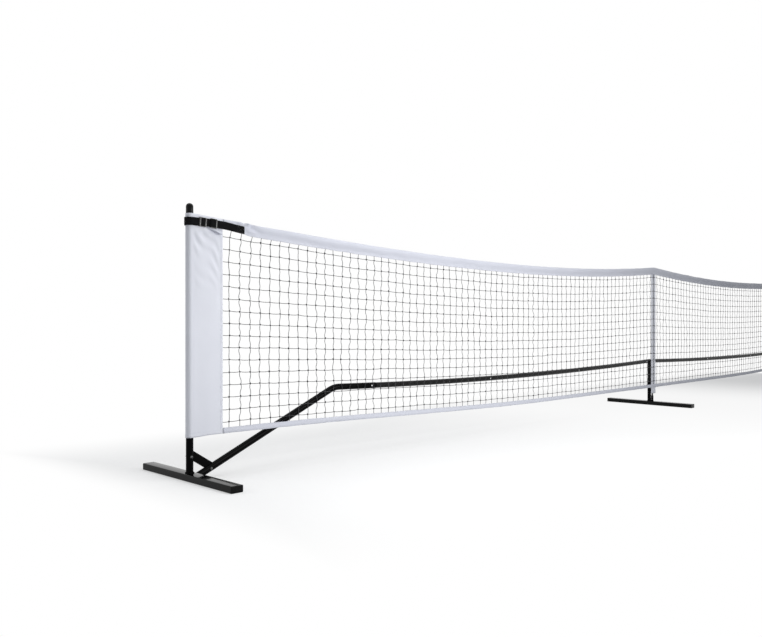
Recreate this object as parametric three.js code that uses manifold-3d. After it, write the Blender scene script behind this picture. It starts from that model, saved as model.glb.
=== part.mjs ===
// Portable pickleball net, in millimetres, +Z up.
// X runs along the net, -Y is the side that the net hangs on, and the origin is on the floor
// at the centre.
import * as THREE from 'three';
import { mergeVertices } from 'three/addons/utils/BufferGeometryUtils.js';
import Module from 'manifold-3d';

const wasm = await Module();
wasm.setup();

// ---- driving dimensions ----
const halfSpan = 3353;               // post centre to net centre, half of 22 ft
const fitGap = 0.3;                  // air between pieces that touch
const cutPast = 1;                   // a cut runs on past a face by this much

const footLength = 568;
const footWidth = 46;
const footHeight = 24;
const footWall = 1.6;
const footEdge = 1.5;                // chamfer along the tube's edges
const footInnerEdge = 0.4;           // the least chamfer inside it
const capFlange = 3;                 // visible thickness of a foot's end cap
const capPlugDepth = 18;

const postDiameter = 25.4;           // posts and struts
const tubeWall = 1.2;
const slipFit = 0.4;                 // radial play of a tube in the next one
const spigotLength = 60;
const tubeSides = 12;
const postWeldHeight = 6;
const postWeldSpread = 4;

const lowerPostTop = 300;
const upperPostTop = 917;
const postCapHeight = 32;
const postCapDome = 12;
const postCapDomeSteps = 3;
const postCapStem = 20;

const strutFootDistance = 40;        // a point on the strut's axis, from the post
const strutFootHeight = 14;
const bendDistance = 659;            // where strut and rail axes cross, from the post
const bendHeight = 279;
const bendRadius = 120;
const bendSteps = 5;
const strutEndDistance = 888;
const strutFloorGap = 0.5;

const railDiameter = 24;             // rails and the tee's arms
const railLowDistance = 1900;        // the rail's lowest point under its own weight
const railLowHeight = 258.5;
const railCentreHeight = 280.5;
const railPieces = 3;                // tubes a side
const teeArm = 25;                   // from the centre to the rail's end
const teeLap = 1;                    // how far each arm runs past the centre
const stubTop = 150;

const braceWidth = 30;
const braceThickness = 4;
const bracePostHeight = 90;          // where its middle line meets the post's axis
const braceStrutDistance = 87;       // and the strut's
const braceEndDepth = 8;             // how far it runs past those axes, inside the tubes
const boltPostHeight = 80.5;
const boltStrutDistance = 79;
const boltDiameter = 6;
const boltPlay = 0.3;
const boltHeadDiameter = 10;
const boltHeadHeight = 3;
const boltTail = 1.5;
const nutWidth = 10;
const nutHeight = 5;

const buttonDiameter = 6.6;
const buttonPlay = 0.35;
const buttonRise = 2.6;              // how far a button stands out of its tube
const buttonSides = 10;
const buttonInset = 30;              // from the seam between two tubes
const clipWidth = 5;
const clipLength = 30;
const clipSheet = 0.8;
const clipOpening = 10;              // spread of the clip's two legs at their tips
const clipFold = 3.4;                // and at their fold
const clipLip = 2;                   // clip past the button
const buttonEdge = 1;                // chamfer round its head

const rodDiameter = 10;
const rodTipDiameter = 12.2;
const rodTipHeight = 14;
const rodTipGrip = 12;               // length of the tip that grips the rod
const rodTipWall = 0.8;
const rodSocketTop = 60;
const rodSocketWall = 1.8;
const rodPlay = 0.35;
const rodBase = 0.6;                 // rod's lower end above the foot

const clothWall = 1.2;
const sleevePlay = 0.4;
const sleeveReach = 123;             // post centre to the panel's sewn edge
const sleeveTop = 914;
const sleeveEdge = 2.4;
const sleeveSeam = 9;                // sewn flat beside the post's pocket
const sleeveArcSteps = 9;
const centreSleeveWidth = 56;
const centreSleeveSeam = 8;
const centreSleeveBottom = 74;
const centreSleeveDrop = 3;          // its top below the net's
const centreSleeveLid = 1.2;
const centrePlay = 1.6;              // rod to sleeve
const centreBackGap = 0.8;           // sleeve to tee

const topBandHeight = 44;
const topBandThickness = 3.4;
const bottomBandHeight = 20;
const bottomBandThickness = 3;
const bandSteps = 20;                // stations in half a band
const netRelief = 0.7;               // net at the sleeves, in front of the pockets
const netColumns = 50;
const netRows = 6;
const netCordWidth = 4;
const netCordThickness = 3;

const topEdgeLow = 826.5;            // net's top edge between post and centre
const topEdgeLowDistance = 2000;
const topEdgeCentre = 878;
const bottomEdgePost = 149;
const bottomEdgeLow = 113;
const bottomEdgeLowDistance = 2200;
const postSagPower = 1.9;
const centreSagPower = 2;

const strapWidth = 28;
const strapThickness = 1.8;
const strapClearance = 1;            // buckles in front of the panel
const strapPostDrop = 24;            // the strap's middle below the sleeve's top, at the post
const strapEndDrop = 40;             // and at its sewn end
const strapEndDistance = 213;
const strapRampDistance = 168;       // where the strap starts to bend in to the band
const strapBackRun = 62;
const strapLoopPlay = 0.6;
const strapWrapSteps = 10;
const sliderLength = 28;
const sliderHeight = 33;
const sliderBack = 1.2;
const sliderFront = 2.6;
const sliderBar = 5;
const sliderDistances = { outer: 40, inner: 83 };

// ---- sizes that follow from them ----
const postRadius = postDiameter / 2;
const railRadius = railDiameter / 2;
const plugRadius = (tubeRadius) => tubeRadius - tubeWall - slipFit;   // what fits in a tube
const stubRadius = plugRadius(postRadius);            // centre stub and the tee's leg
const footTop = footHeight;
const footSide = footWidth / 2 + fitGap;
const sleeveRadius = postRadius + sleevePlay + clothWall;
const netEdgePlane = sleeveRadius + netRelief;        // the net's middle in front of the posts' axes
const sliderChannel = strapThickness / 2 + fitGap;
const strapPlane = netEdgePlane + sleeveEdge / 2 + strapClearance + sliderBack + sliderChannel;
const centreSleeveRadius = rodDiameter / 2 + centrePlay + clothWall;
const rodPlane = Math.max(railRadius, stubRadius) + centreBackGap + centreSleeveRadius;
const centreSleeveFront = rodPlane + centreSleeveRadius;
const centreSleeveTop = topEdgeCentre - centreSleeveDrop;
const rodTop = centreSleeveTop - centreSleeveLid - fitGap - rodTipHeight;
const netCentrePlane = centreSleeveFront + fitGap + topBandThickness / 2;
const netHalfWidth = halfSpan - sleeveReach - fitGap;
const strutSlope = (bendHeight - strutFootHeight) / (bendDistance - strutFootDistance);
const strapSlope = (strapPostDrop - strapEndDrop) / strapEndDistance;
const railVisible = (halfSpan - teeArm - strutEndDistance) / railPieces;

// ---- materials ----
function paint(color, roughness, metalness) {
  return new THREE.MeshStandardMaterial({ color, roughness, metalness });
}

const powderCoat = paint(0x0b0b0d, 0.28, 0.2);
const blackPlastic = paint(0x161618, 0.6, 0);
const zincSteel = paint(0xb9bcc0, 0.35, 0.9);
const fibreglass = paint(0x101012, 0.4, 0);
const blackRubber = paint(0x141414, 0.8, 0);
const netTwine = paint(0x17171a, 0.85, 0);
const whiteCloth = paint(0xdfe2ec, 0.8, 0);
const blackWebbing = paint(0x121214, 0.85, 0);

// ---- curves of the real object ----

// height of the net's top edge at a distance from the nearer post
function topEdge(distance) {
  if (distance < topEdgeLowDistance) {
    const rise = sleeveTop - topEdgeLow;
    return topEdgeLow + rise * (1 - distance / topEdgeLowDistance) ** postSagPower;
  }
  const along = (distance - topEdgeLowDistance) / (halfSpan - topEdgeLowDistance);
  return topEdgeLow + (topEdgeCentre - topEdgeLow) * along ** centreSagPower;
}

// height of its bottom edge
function bottomEdge(distance) {
  const along = Math.min(distance / bottomEdgeLowDistance, 1);
  return bottomEdgeLow + (bottomEdgePost - bottomEdgeLow) * (1 + Math.cos(Math.PI * along)) / 2;
}

// the net runs straight from each sleeve to the front of the centre sleeve
function netPlane(distance) {
  const along = (distance - sleeveReach) / (halfSpan - sleeveReach);
  return -netEdgePlane - (netCentrePlane - netEdgePlane) * along;
}

// height of the rail's axis, which sags between the bend and the centre
function railHeight(distance) {
  const toBend = railLowDistance - bendDistance;
  const toCentre = halfSpan - railLowDistance;
  const outward = distance < railLowDistance;
  const rise = (outward ? bendHeight : railCentreHeight) - railLowHeight;
  return railLowHeight + rise * ((distance - railLowDistance) / (outward ? toBend : toCentre)) ** 2;
}

function railDirection(distance) {
  const step = 1;
  const rise = railHeight(distance + step) - railHeight(distance - step);
  return new THREE.Vector3(2 * step, 0, rise).normalize();
}

// ---- shape helpers ----

// skins a row of rings that have the same number of points; a loop of rings closes on itself
function loft(rings, isLoop = false) {
  const points = rings.flat();
  const size = rings[0].length;
  const faces = [];
  const spans = isLoop ? rings.length : rings.length - 1;
  for (let ring = 0; ring < spans; ring += 1) {
    const here = ring * size;
    const next = ((ring + 1) % rings.length) * size;
    for (let side = 0; side < size; side += 1) {
      const turn = (side + 1) % size;
      faces.push(here + side, here + turn, next + turn, here + side, next + turn, next + side);
    }
  }
  if (!isLoop) {
    const last = (rings.length - 1) * size;
    for (let side = 1; side < size - 1; side += 1) {
      faces.push(0, side + 1, side, last, last + side, last + side + 1);
    }
  }
  const geometry = new THREE.BufferGeometry();
  const places = points.flatMap((point) => [point.x, point.y, point.z]);
  geometry.setAttribute('position', new THREE.Float32BufferAttribute(places, 3));
  geometry.setIndex(faces);
  return welded(geometry);
}

// shared corners, no collapsed faces, and every face pointing out
function welded(geometry) {
  const loose = geometry.clone();
  loose.deleteAttribute('normal');
  loose.deleteAttribute('uv');
  const skin = mergeVertices(loose, 1e-4);
  const place = skin.attributes.position;
  const corner = [new THREE.Vector3(), new THREE.Vector3(), new THREE.Vector3()];
  const kept = [];
  let volume = 0;
  for (let at = 0; at < skin.index.count; at += 3) {
    const face = [0, 1, 2].map((k) => skin.index.getX(at + k));
    if (new Set(face).size === 3) {
      kept.push(face);
      corner.forEach((point, k) => point.fromBufferAttribute(place, face[k]));
      volume += corner[0].dot(corner[1].clone().cross(corner[2]));
    }
  }
  skin.setIndex(kept.flatMap((face) => (volume < 0 ? [face[0], face[2], face[1]] : face)));
  return skin;
}

function toSolid(geometry) {
  const skin = welded(geometry);
  return new wasm.Manifold(new wasm.Mesh({
    numProp: 3,
    vertProperties: Float32Array.from(skin.attributes.position.array),
    triVerts: Uint32Array.from(skin.index.array),
  }));
}

function toGeometry(solid) {
  const mesh = solid.getMesh();
  const places = Float32Array.from(mesh.vertProperties);
  const geometry = new THREE.BufferGeometry();
  geometry.setAttribute('position', new THREE.BufferAttribute(places, 3));
  geometry.setIndex(new THREE.BufferAttribute(Uint32Array.from(mesh.triVerts), 1));
  return geometry;
}

function cut(body, tools) {
  return toGeometry(tools.reduce((left, tool) => left.subtract(toSolid(tool)), toSolid(body)));
}

const join = (pieces) => toGeometry(pieces.map(toSolid).reduce((sum, piece) => sum.add(piece)));

// a ring of points round an axis in the plane of the frame
function circle(centre, direction, radius, sides = tubeSides) {
  const across = new THREE.Vector3(0, 1, 0);
  const over = new THREE.Vector3().crossVectors(direction, across).normalize();
  return Array.from({ length: sides }, (_, k) => {
    const angle = (2 * Math.PI * (k + 0.5)) / sides;
    return centre.clone().addScaledVector(across, radius * Math.cos(angle))
      .addScaledVector(over, radius * Math.sin(angle));
  });
}

// a hollow tube from its outer and inner stations, each [centre, direction, radius]
function tube(outer, inner) {
  const rings = [...outer, ...[...inner].reverse()].map((station) => circle(...station));
  return loft(rings, true);
}

const up = new THREE.Vector3(0, 0, 1);
const onPost = (height, radius) => [new THREE.Vector3(0, 0, height), up, radius];

// an upright solid of revolution, from [radius, height] pairs that start and end on the axis
function turned(profile, sides = tubeSides) {
  const outline = profile.map(([radius, height]) => new THREE.Vector2(radius, height));
  return new THREE.LatheGeometry(outline, sides, Math.PI / sides).rotateX(Math.PI / 2);
}

// a round bar along Y, for bolts, buttons and the holes that they pass through
function barAcross(x, z, radius, front, back) {
  const bar = new THREE.CylinderGeometry(radius, radius, back - front, buttonSides);
  return bar.translate(x, (front + back) / 2, 0).translate(0, 0, z);
}

function box(low, high) {
  const size = high.map((value, k) => value - low[k]);
  return new THREE.BoxGeometry(...size).translate(...low.map((value, k) => value + size[k] / 2));
}

function mirrored(geometry) {
  return welded(geometry.clone().scale(-1, 1, 1));
}

// ---- feet ----

// a foot's outline in XZ with its long edges chamfered
function footOutline(inset) {
  const half = footWidth / 2 - inset;
  const low = inset;
  const high = footHeight - inset;
  const edge = Math.max(footEdge - inset, footInnerEdge);
  return [
    [half - edge, low], [half, low + edge], [half, high - edge], [half - edge, high],
    [edge - half, high], [-half, high - edge], [-half, low + edge], [edge - half, low],
  ];
}

const footRing = (inset, y) => footOutline(inset).map(([x, z]) => new THREE.Vector3(x, y, z));

function foot() {
  const end = footLength / 2 - capFlange - fitGap;
  const rings = [[0, -end], [0, end], [footWall, end], [footWall, -end]];
  return loft(rings.map((ring) => footRing(...ring)), true);
}

// a plug that fills the front end of a foot, with a flange as wide as the tube
function footCap() {
  const outside = -footLength / 2;
  const flangeBack = outside + capFlange;
  const plugInset = footWall + fitGap;
  return loft([
    footRing(footEdge, outside),
    footRing(0, outside + footEdge),
    footRing(0, flangeBack),
    footRing(plugInset, flangeBack),
    footRing(plugInset, flangeBack + capPlugDepth),
  ]);
}

// ---- posts ----

function lowerPost() {
  const inside = postRadius - tubeWall;
  const spigot = plugRadius(postRadius);
  const base = footTop + fitGap;
  const body = tube(
    [
      onPost(base, postRadius + postWeldSpread), onPost(base + postWeldHeight, postRadius),
      onPost(lowerPostTop, postRadius), onPost(lowerPostTop, spigot),
      onPost(lowerPostTop + spigotLength, spigot),
    ],
    [
      onPost(base, inside), onPost(lowerPostTop - 2 * tubeWall, inside),
      onPost(lowerPostTop, spigot - tubeWall), onPost(lowerPostTop + spigotLength, spigot - tubeWall),
    ],
  );
  return cut(body, [boltHole(...boltPlaces.post), braceSlot(), postButtonHole()]);
}

function upperPost() {
  const inside = postRadius - tubeWall;
  const base = lowerPostTop + fitGap;
  const body = tube(
    [onPost(base, postRadius), onPost(upperPostTop, postRadius)],
    [onPost(base, inside), onPost(upperPostTop, inside)],
  );
  return cut(body, [postButtonHole()]);
}

function postCap() {
  const base = upperPostTop + fitGap;
  const shoulder = base + postCapHeight - postCapDome;
  const stem = postRadius - tubeWall - fitGap;
  const profile = [
    [0, base - postCapStem], [stem, base - postCapStem], [stem, base], [postRadius, base],
  ];
  for (let step = 0; step < postCapDomeSteps; step += 1) {
    const angle = (Math.PI / 2) * (step / postCapDomeSteps);
    profile.push([postRadius * Math.cos(angle), shoulder + postCapDome * Math.sin(angle)]);
  }
  profile.push([0, shoulder + postCapDome]);
  return turned(profile);
}

// ---- struts, braces and bolts ----

const strutDirection = new THREE.Vector3(1, 0, strutSlope).normalize();
const strutPoint = (distance) => new THREE.Vector3(
  distance, 0, strutFootHeight + strutSlope * (distance - strutFootDistance));
const railPoint = (distance) => new THREE.Vector3(distance, 0, railHeight(distance));

// centres and directions down the strut, through its bend, to the end that takes the rail
function strutAxis() {
  const lower = Math.atan2(strutDirection.z, strutDirection.x);
  const upper = Math.atan2(railDirection(bendDistance).z, railDirection(bendDistance).x);
  const reach = bendRadius * Math.tan((lower - upper) / 2);
  const corner = new THREE.Vector3(bendDistance, 0, bendHeight);
  const start = corner.clone().addScaledVector(strutDirection, -reach);
  const axis = [[strutPoint(0), strutDirection]];
  for (let step = 0; step <= bendSteps; step += 1) {
    const angle = lower + ((upper - lower) * step) / bendSteps;
    const along = bendRadius * (Math.sin(lower) - Math.sin(angle));
    const rise = bendRadius * (Math.cos(angle) - Math.cos(lower));
    const point = new THREE.Vector3(start.x + along, 0, start.z + rise);
    axis.push([point, new THREE.Vector3(Math.cos(angle), 0, Math.sin(angle))]);
  }
  for (const distance of [strutEndDistance - spigotLength - fitGap, strutEndDistance]) {
    axis.push([railPoint(distance), railDirection(distance)]);
  }
  return axis;
}

// the lower end is cut level with the floor and upright beside the foot
function strut() {
  const axis = strutAxis();
  const skin = (radius) => axis.map(([centre, direction]) => [centre, direction, radius]);
  const body = tube(skin(postRadius), skin(postRadius - tubeWall));
  const beyond = 2 * footWidth;
  const floor = box([-beyond, -beyond, -beyond], [beyond, beyond, strutFloorGap]);
  const beside = box([-beyond, -beyond, -beyond], [footSide, beyond, beyond]);
  const holes = [boltHole(...boltPlaces.strut), braceSlot(), railButtonHole(strutEndDistance)];
  return cut(body, [floor, beside, ...holes]);
}

function boltHole(x, z) {
  return barAcross(x, z, boltDiameter / 2 + boltPlay, -footWidth, footWidth);
}

const boltPlaces = {
  post: [0, boltPostHeight],
  strut: [boltStrutDistance, strutPoint(boltStrutDistance).z],
};

// a flat bar in the frame's plane, from inside the post to inside the strut, grown by some play
function braceBar(play) {
  const start = new THREE.Vector3(0, 0, bracePostHeight);
  const run = strutPoint(braceStrutDistance).sub(start).normalize();
  const aside = new THREE.Vector3(run.z, 0, -run.x);
  const depth = braceEndDepth + play;
  // the bar's ends lie along the post and along the strut
  const ends = [
    [new THREE.Vector3(-1, 0, 0), new THREE.Vector3()],
    [new THREE.Vector3(strutDirection.z, 0, -strutDirection.x), strutPoint(0)],
  ];
  const corner = (offset, [outward, onAxis]) => {
    const point = start.clone().addScaledVector(aside, offset);
    const reach = depth - point.clone().sub(onAxis).dot(outward);
    return point.addScaledVector(run, reach / run.dot(outward));
  };
  const half = braceWidth / 2 + play;
  const [inPost, inStrut] = ends;
  const outline = [
    corner(half, inPost), corner(half, inStrut), corner(-half, inStrut), corner(-half, inPost)];
  const face = braceThickness / 2 + play;
  return loft([-face, face].map((y) => outline.map(({ x, z }) => new THREE.Vector3(x, y, z))));
}

const braceSlot = () => braceBar(fitGap);
const brace = () => cut(braceBar(0), Object.values(boltPlaces).map((place) => boltHole(...place)));

// a round-headed bolt through the tube and the bar in it
function braceBolt() {
  const radius = boltDiameter / 2;
  const tail = postRadius + fitGap + nutHeight + boltTail;
  const head = postRadius + fitGap;
  const profile = [
    [0, -tail], [radius, -tail], [radius, head], [boltHeadDiameter / 2, head],
    [boltHeadDiameter / 2, head + boltHeadHeight / 3], [boltHeadDiameter / 4, head + boltHeadHeight],
    [0, head + boltHeadHeight],
  ];
  return turned(profile, buttonSides).rotateX(Math.PI / 2);
}

function braceNut() {
  const corner = Math.cos(Math.PI / 6);
  const inside = (boltDiameter / 2 + boltPlay) / corner;
  const outside = nutWidth / 2 / corner;
  return new THREE.LatheGeometry([
    new THREE.Vector2(inside, 0), new THREE.Vector2(outside, 0),
    new THREE.Vector2(outside, nutHeight), new THREE.Vector2(inside, nutHeight),
    new THREE.Vector2(inside, 0),
  ], 6).translate(0, postRadius + fitGap, 0);
}

// ---- rails and centre ----

// seams between the tubes, from the strut's end to the tee
const seam = (piece) => strutEndDistance + railVisible * piece;

// each rail tube plugs into the one before it and takes the next one in its plain end
function rail(piece) {
  const inside = railRadius - tubeWall;
  const start = seam(piece);
  const end = seam(piece + 1);
  const shoulder = start + fitGap;
  const tip = start - spigotLength;
  const plainSide = end - spigotLength - fitGap;
  const spigot = plugRadius(piece === 0 ? postRadius : railRadius);
  const bore = spigot - tubeWall;
  const on = (distance, radius) => [railPoint(distance), railDirection(distance), radius];
  const middle = (shoulder + plainSide) / 2;
  const outer = [on(tip, spigot), on(shoulder, spigot), on(shoulder, railRadius)];
  const inner = [on(tip, bore), on(shoulder, bore), on(shoulder + 2 * tubeWall, inside)];
  for (const distance of [middle, plainSide, end]) {
    outer.push(on(distance, railRadius));
    inner.push(on(distance, inside));
  }
  return cut(tube(outer, inner), [railButtonHole(start), railButtonHole(end)]);
}

// buttons on the rail show on the net's side, on the post inside the sleeve's pocket
function railButtonHole(seamDistance) {
  const at = railPoint(seamDistance - buttonInset);
  return barAcross(at.x, at.z, buttonDiameter / 2 + buttonPlay, -footWidth, 0);
}

function postButtonHole() {
  const hole = barAcross(0, 0, buttonDiameter / 2 + buttonPlay, -footWidth, 0).rotateZ(Math.PI / 2);
  return hole.translate(0, 0, lowerPostTop + buttonInset);
}

// the tee is measured from the net's centre: two arms on the rail's line and one leg down to the stub
function centreTee() {
  const spigot = plugRadius(railRadius);
  const bore = spigot - tubeWall;
  const shoulder = teeArm - fitGap;
  const tip = teeArm + spigotLength;
  const on = (x, radius) => [
    new THREE.Vector3(x, 0, railHeight(halfSpan + x)), railDirection(halfSpan + x), radius];
  const armSkin = (stations) => loft(stations.map((station) => circle(...station)));
  const arm = armSkin([
    on(-tip, spigot), on(-shoulder, spigot), on(-shoulder, railRadius), on(teeLap, railRadius)]);
  const armBore = armSkin([on(-tip - cutPast, bore), on(teeLap, bore)]);
  const legTop = railCentreHeight;
  const legBase = stubTop + fitGap;
  const legTip = stubTop - spigotLength;
  const legSpigot = plugRadius(stubRadius);
  const legInside = legSpigot - tubeWall;
  const leg = armSkin([
    onPost(legTip, legSpigot), onPost(legBase, legSpigot),
    onPost(legBase, stubRadius), onPost(legTop, stubRadius),
  ]);
  const legBore = armSkin([onPost(legTip - cutPast, legInside), onPost(legTop, legInside)]);
  const body = join([arm, mirrored(arm), leg]);
  const button = barAcross(-teeArm - buttonInset, railHeight(halfSpan - teeArm - buttonInset),
    buttonDiameter / 2 + buttonPlay, -footWidth, 0);
  return cut(body, [armBore, mirrored(armBore), legBore, button, mirrored(button)]);
}

function centreStub() {
  const inside = stubRadius - tubeWall;
  const base = footTop + fitGap;
  return tube(
    [onPost(base, stubRadius), onPost(stubTop, stubRadius)],
    [onPost(base, inside), onPost(stubTop, inside)],
  );
}

// a short cup on the centre foot that the rod stands in
function rodSocket() {
  const inside = rodDiameter / 2 + rodPlay;
  const outside = inside + rodSocketWall;
  const base = footTop + fitGap;
  return tube(
    [onPost(base, outside), onPost(rodSocketTop, outside)],
    [onPost(base, inside), onPost(rodSocketTop, inside)],
  ).translate(0, -rodPlane, 0);
}

function centreRod() {
  const radius = rodDiameter / 2;
  const rings = [footTop + rodBase, rodTop].map((height) => circle(...onPost(height, radius)));
  return loft(rings).translate(0, -rodPlane, 0);
}

function rodTip() {
  const outside = rodTipDiameter / 2;
  const inside = outside - rodTipWall;
  const roof = rodTop + fitGap;
  const top = rodTop + rodTipHeight;
  return turned([
    [0, roof], [inside, roof], [inside, rodTop - rodTipGrip], [outside, rodTop - rodTipGrip],
    [outside, top - outside / 2], [outside / 2, top], [0, top],
  ]).translate(0, -rodPlane, 0);
}

// ---- snap buttons ----

// a domed button on a folded spring clip; it stands out along -Y and slides in along +Y
function snapButton(tubeRadius) {
  const radius = buttonDiameter / 2;
  const bore = plugRadius(tubeRadius) - tubeWall;
  const legTop = Math.sqrt(bore ** 2 - (clipWidth / 2) ** 2) - fitGap;
  const head = tubeRadius + buttonRise;
  const foot = legTop - clipSheet / 2;
  const pin = turned(
    [[0, foot], [radius, foot], [radius, head - buttonEdge], [radius - buttonEdge, head], [0, head]],
    buttonSides,
  ).rotateX(Math.PI / 2);
  const tail = radius - clipLength;
  const fold = legTop - clipFold;
  const clip = new THREE.Shape([
    new THREE.Vector2(radius + clipLip, legTop), new THREE.Vector2(tail, legTop),
    new THREE.Vector2(tail - clipSheet, fold), new THREE.Vector2(radius, legTop - clipOpening),
    new THREE.Vector2(radius, legTop - clipOpening + clipSheet),
    new THREE.Vector2(tail + clipSheet, fold), new THREE.Vector2(tail + clipSheet, legTop - clipSheet),
    new THREE.Vector2(radius + clipLip, legTop - clipSheet),
  ]);
  const strip = new THREE.ExtrudeGeometry(clip, { depth: clipWidth, bevelEnabled: false });
  strip.translate(0, 0, -clipWidth / 2).scale(1, -1, 1);
  return join([pin, welded(strip)]);
}

// ---- net, bands and sleeves ----

const fromPost = (x) => halfSpan - Math.abs(x);

// cords crossing at right angles; each cord has two edges, and what lies between cords is open
function netMesh() {
  const columnEdges = [];
  const rowEdges = [];
  for (let column = 0; column <= netColumns; column += 1) {
    const middle = netCordWidth / 2 - netHalfWidth
      + ((2 * netHalfWidth - netCordWidth) * column) / netColumns;
    columnEdges.push(middle - netCordWidth / 2, middle + netCordWidth / 2);
  }
  for (let row = 0; row <= netRows; row += 1) {
    rowEdges.push([row / netRows, -row * netCordWidth / netRows]);
    rowEdges.push([row / netRows, netCordWidth - row * netCordWidth / netRows]);
  }
  const place = (x, [share, offset], side) => {
    const distance = fromPost(x);
    const low = bottomEdge(distance) + bottomBandHeight + fitGap;
    const high = topEdge(distance) - topBandHeight - fitGap;
    return [x, netPlane(distance) + side * netCordThickness / 2, low + (high - low) * share + offset];
  };
  const points = [];
  for (const side of [-1, 1]) {
    for (const x of columnEdges) {
      for (const row of rowEdges) points.push(...place(x, row, side));
    }
  }
  const wide = columnEdges.length;
  const tall = rowEdges.length;
  const index = (column, row, side) => side * wide * tall + column * tall + row;
  const isCord = (column, row) => column >= 0 && row >= 0 && column < wide - 1 && row < tall - 1
    && (column % 2 === 0 || row % 2 === 0);
  const faces = [];
  const quad = (a, b, c, d) => faces.push(a, b, c, a, c, d);
  for (let column = 0; column < wide - 1; column += 1) {
    for (let row = 0; row < tall - 1; row += 1) {
      if (!isCord(column, row)) continue;
      const corner = (side) => [
        index(column, row, side), index(column + 1, row, side),
        index(column + 1, row + 1, side), index(column, row + 1, side)];
      const front = corner(0);
      const back = corner(1);
      quad(...front);
      quad(...[...back].reverse());
      const neighbours = [[column, row - 1], [column + 1, row], [column, row + 1], [column - 1, row]];
      neighbours.forEach(([nextColumn, nextRow], edge) => {
        if (isCord(nextColumn, nextRow)) return;
        const turn = (edge + 1) % 4;
        quad(front[turn], front[edge], back[edge], back[turn]);
      });
    }
  }
  const geometry = new THREE.BufferGeometry();
  geometry.setAttribute('position', new THREE.Float32BufferAttribute(points, 3));
  geometry.setIndex(faces);
  return welded(geometry);
}

// a strip of cloth along the net, between two heights that depend on the distance from the post
function band(thickness, lowAt, highAt) {
  const rings = [];
  for (let step = -bandSteps; step <= bandSteps; step += 1) {
    const x = (netHalfWidth * step) / bandSteps;
    const distance = fromPost(x);
    const y = netPlane(distance);
    rings.push([[-1, lowAt], [1, lowAt], [1, highAt], [-1, highAt]].map(
      ([side, height]) => new THREE.Vector3(x, y + side * thickness / 2, height(distance))));
  }
  return loft(rings);
}

// where a line from a far point touches a circle round the post, as an angle
function touchAngle(radius, x, y, side) {
  const reach = Math.hypot(x, y);
  return Math.atan2(y, x) + side * Math.acos(radius / reach);
}

// a pocket round the post that runs out to a flat seam, as plan points
function pocketOutline(radius, tipX, tipFront, tipBack) {
  const front = touchAngle(radius, tipX, -tipFront, -1);
  const back = touchAngle(radius, tipX, -tipBack, 1) - 2 * Math.PI;
  const points = [];
  for (let step = 0; step <= sleeveArcSteps; step += 1) {
    const angle = front + ((back - front) * step) / sleeveArcSteps;
    points.push([radius * Math.cos(angle), radius * Math.sin(angle)]);
  }
  points.push([tipX, -tipBack], [tipX, -tipFront]);
  return points;
}

function sideSleeve() {
  const half = sleeveEdge / 2;
  const outer = pocketOutline(sleeveRadius, sleeveReach, netEdgePlane + half, netEdgePlane - half);
  const slit = fitGap / 2;
  const inner = pocketOutline(sleeveRadius - clothWall, sleeveReach - sleeveSeam,
    netEdgePlane + slit, netEdgePlane - slit);
  const low = ([x, y]) => new THREE.Vector3(x, y, bottomEdge(Math.max(x, 0)));
  const high = ([x, y]) => new THREE.Vector3(x, y, topEdge(Math.max(x, 0)));
  return loft(outer.map((point, k) => [low(point), high(point), high(inner[k]), low(inner[k])]), true);
}

// a flat strip with a pocket for the rod behind it, closed at the top
function centreSleeve() {
  const plan = (radius, halfWidth, front, edge) => {
    const back = touchAngle(radius, halfWidth, edge - front, 1);
    const points = [[halfWidth, -front], [halfWidth, edge - front]];
    for (let step = 0; step <= sleeveArcSteps; step += 1) {
      const angle = back + ((Math.PI - 2 * back) * step) / sleeveArcSteps;
      points.push([radius * Math.cos(angle), radius * Math.sin(angle)]);
    }
    return [...points, [-halfWidth, edge - front], [-halfWidth, -front]];
  };
  const prism = (points, low, high) => loft([low, high].map(
    (height) => points.map(([x, y]) => new THREE.Vector3(x, y - rodPlane, height))));
  const radius = centreSleeveRadius;
  const outer = plan(radius, centreSleeveWidth / 2, radius, sleeveEdge);
  const pocket = radius - clothWall;
  const inner = plan(pocket, centreSleeveWidth / 2 - centreSleeveSeam, pocket, fitGap);
  return cut(
    prism(outer, centreSleeveBottom, centreSleeveTop),
    [prism(inner, centreSleeveBottom - cutPast, centreSleeveTop - centreSleeveLid)],
  );
}

// ---- tension straps ----

const strapHeight = (distance) => sleeveTop - strapPostDrop + strapSlope * Math.max(distance, 0);

// webbing sewn to the top band, along the panel, round the post and back behind it
function tensionStrap() {
  const half = strapThickness / 2;
  const sewnPlane = -netPlane(strapEndDistance) + topBandThickness / 2 + fitGap + half;
  const backAngle = touchAngle(sleeveRadius, sleeveReach, sleeveEdge / 2 - netEdgePlane, 1);
  const backRadius = sleeveRadius + strapLoopPlay + half;
  const middle = (backRadius - strapPlane) / 2;
  const reach = (backRadius + strapPlane) / 2;
  const path = [[strapEndDistance, -sewnPlane], [strapRampDistance, -strapPlane]];
  for (let step = 0; step <= strapWrapSteps; step += 1) {
    const angle = (Math.PI * step) / strapWrapSteps;
    path.push([-(backRadius + strapLoopPlay) * Math.sin(angle), middle - reach * Math.cos(angle)]);
  }
  const [across, along] = [Math.cos(backAngle), Math.sin(backAngle)];
  const touch = [backRadius * across, backRadius * along];
  path.push(touch, [touch[0] + strapBackRun * along, touch[1] - strapBackRun * across]);
  const rings = path.map(([x, y], k) => {
    const before = path[Math.max(k - 1, 0)];
    const after = path[Math.min(k + 1, path.length - 1)];
    const run = new THREE.Vector2(after[0] - before[0], after[1] - before[1]).normalize();
    const centre = strapHeight(x);
    return [[-1, -1], [1, -1], [1, 1], [-1, 1]].map(([side, level]) => new THREE.Vector3(
      x - run.y * side * half, y + run.x * side * half, centre + (level * strapWidth) / 2));
  });
  return loft(rings);
}

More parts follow.
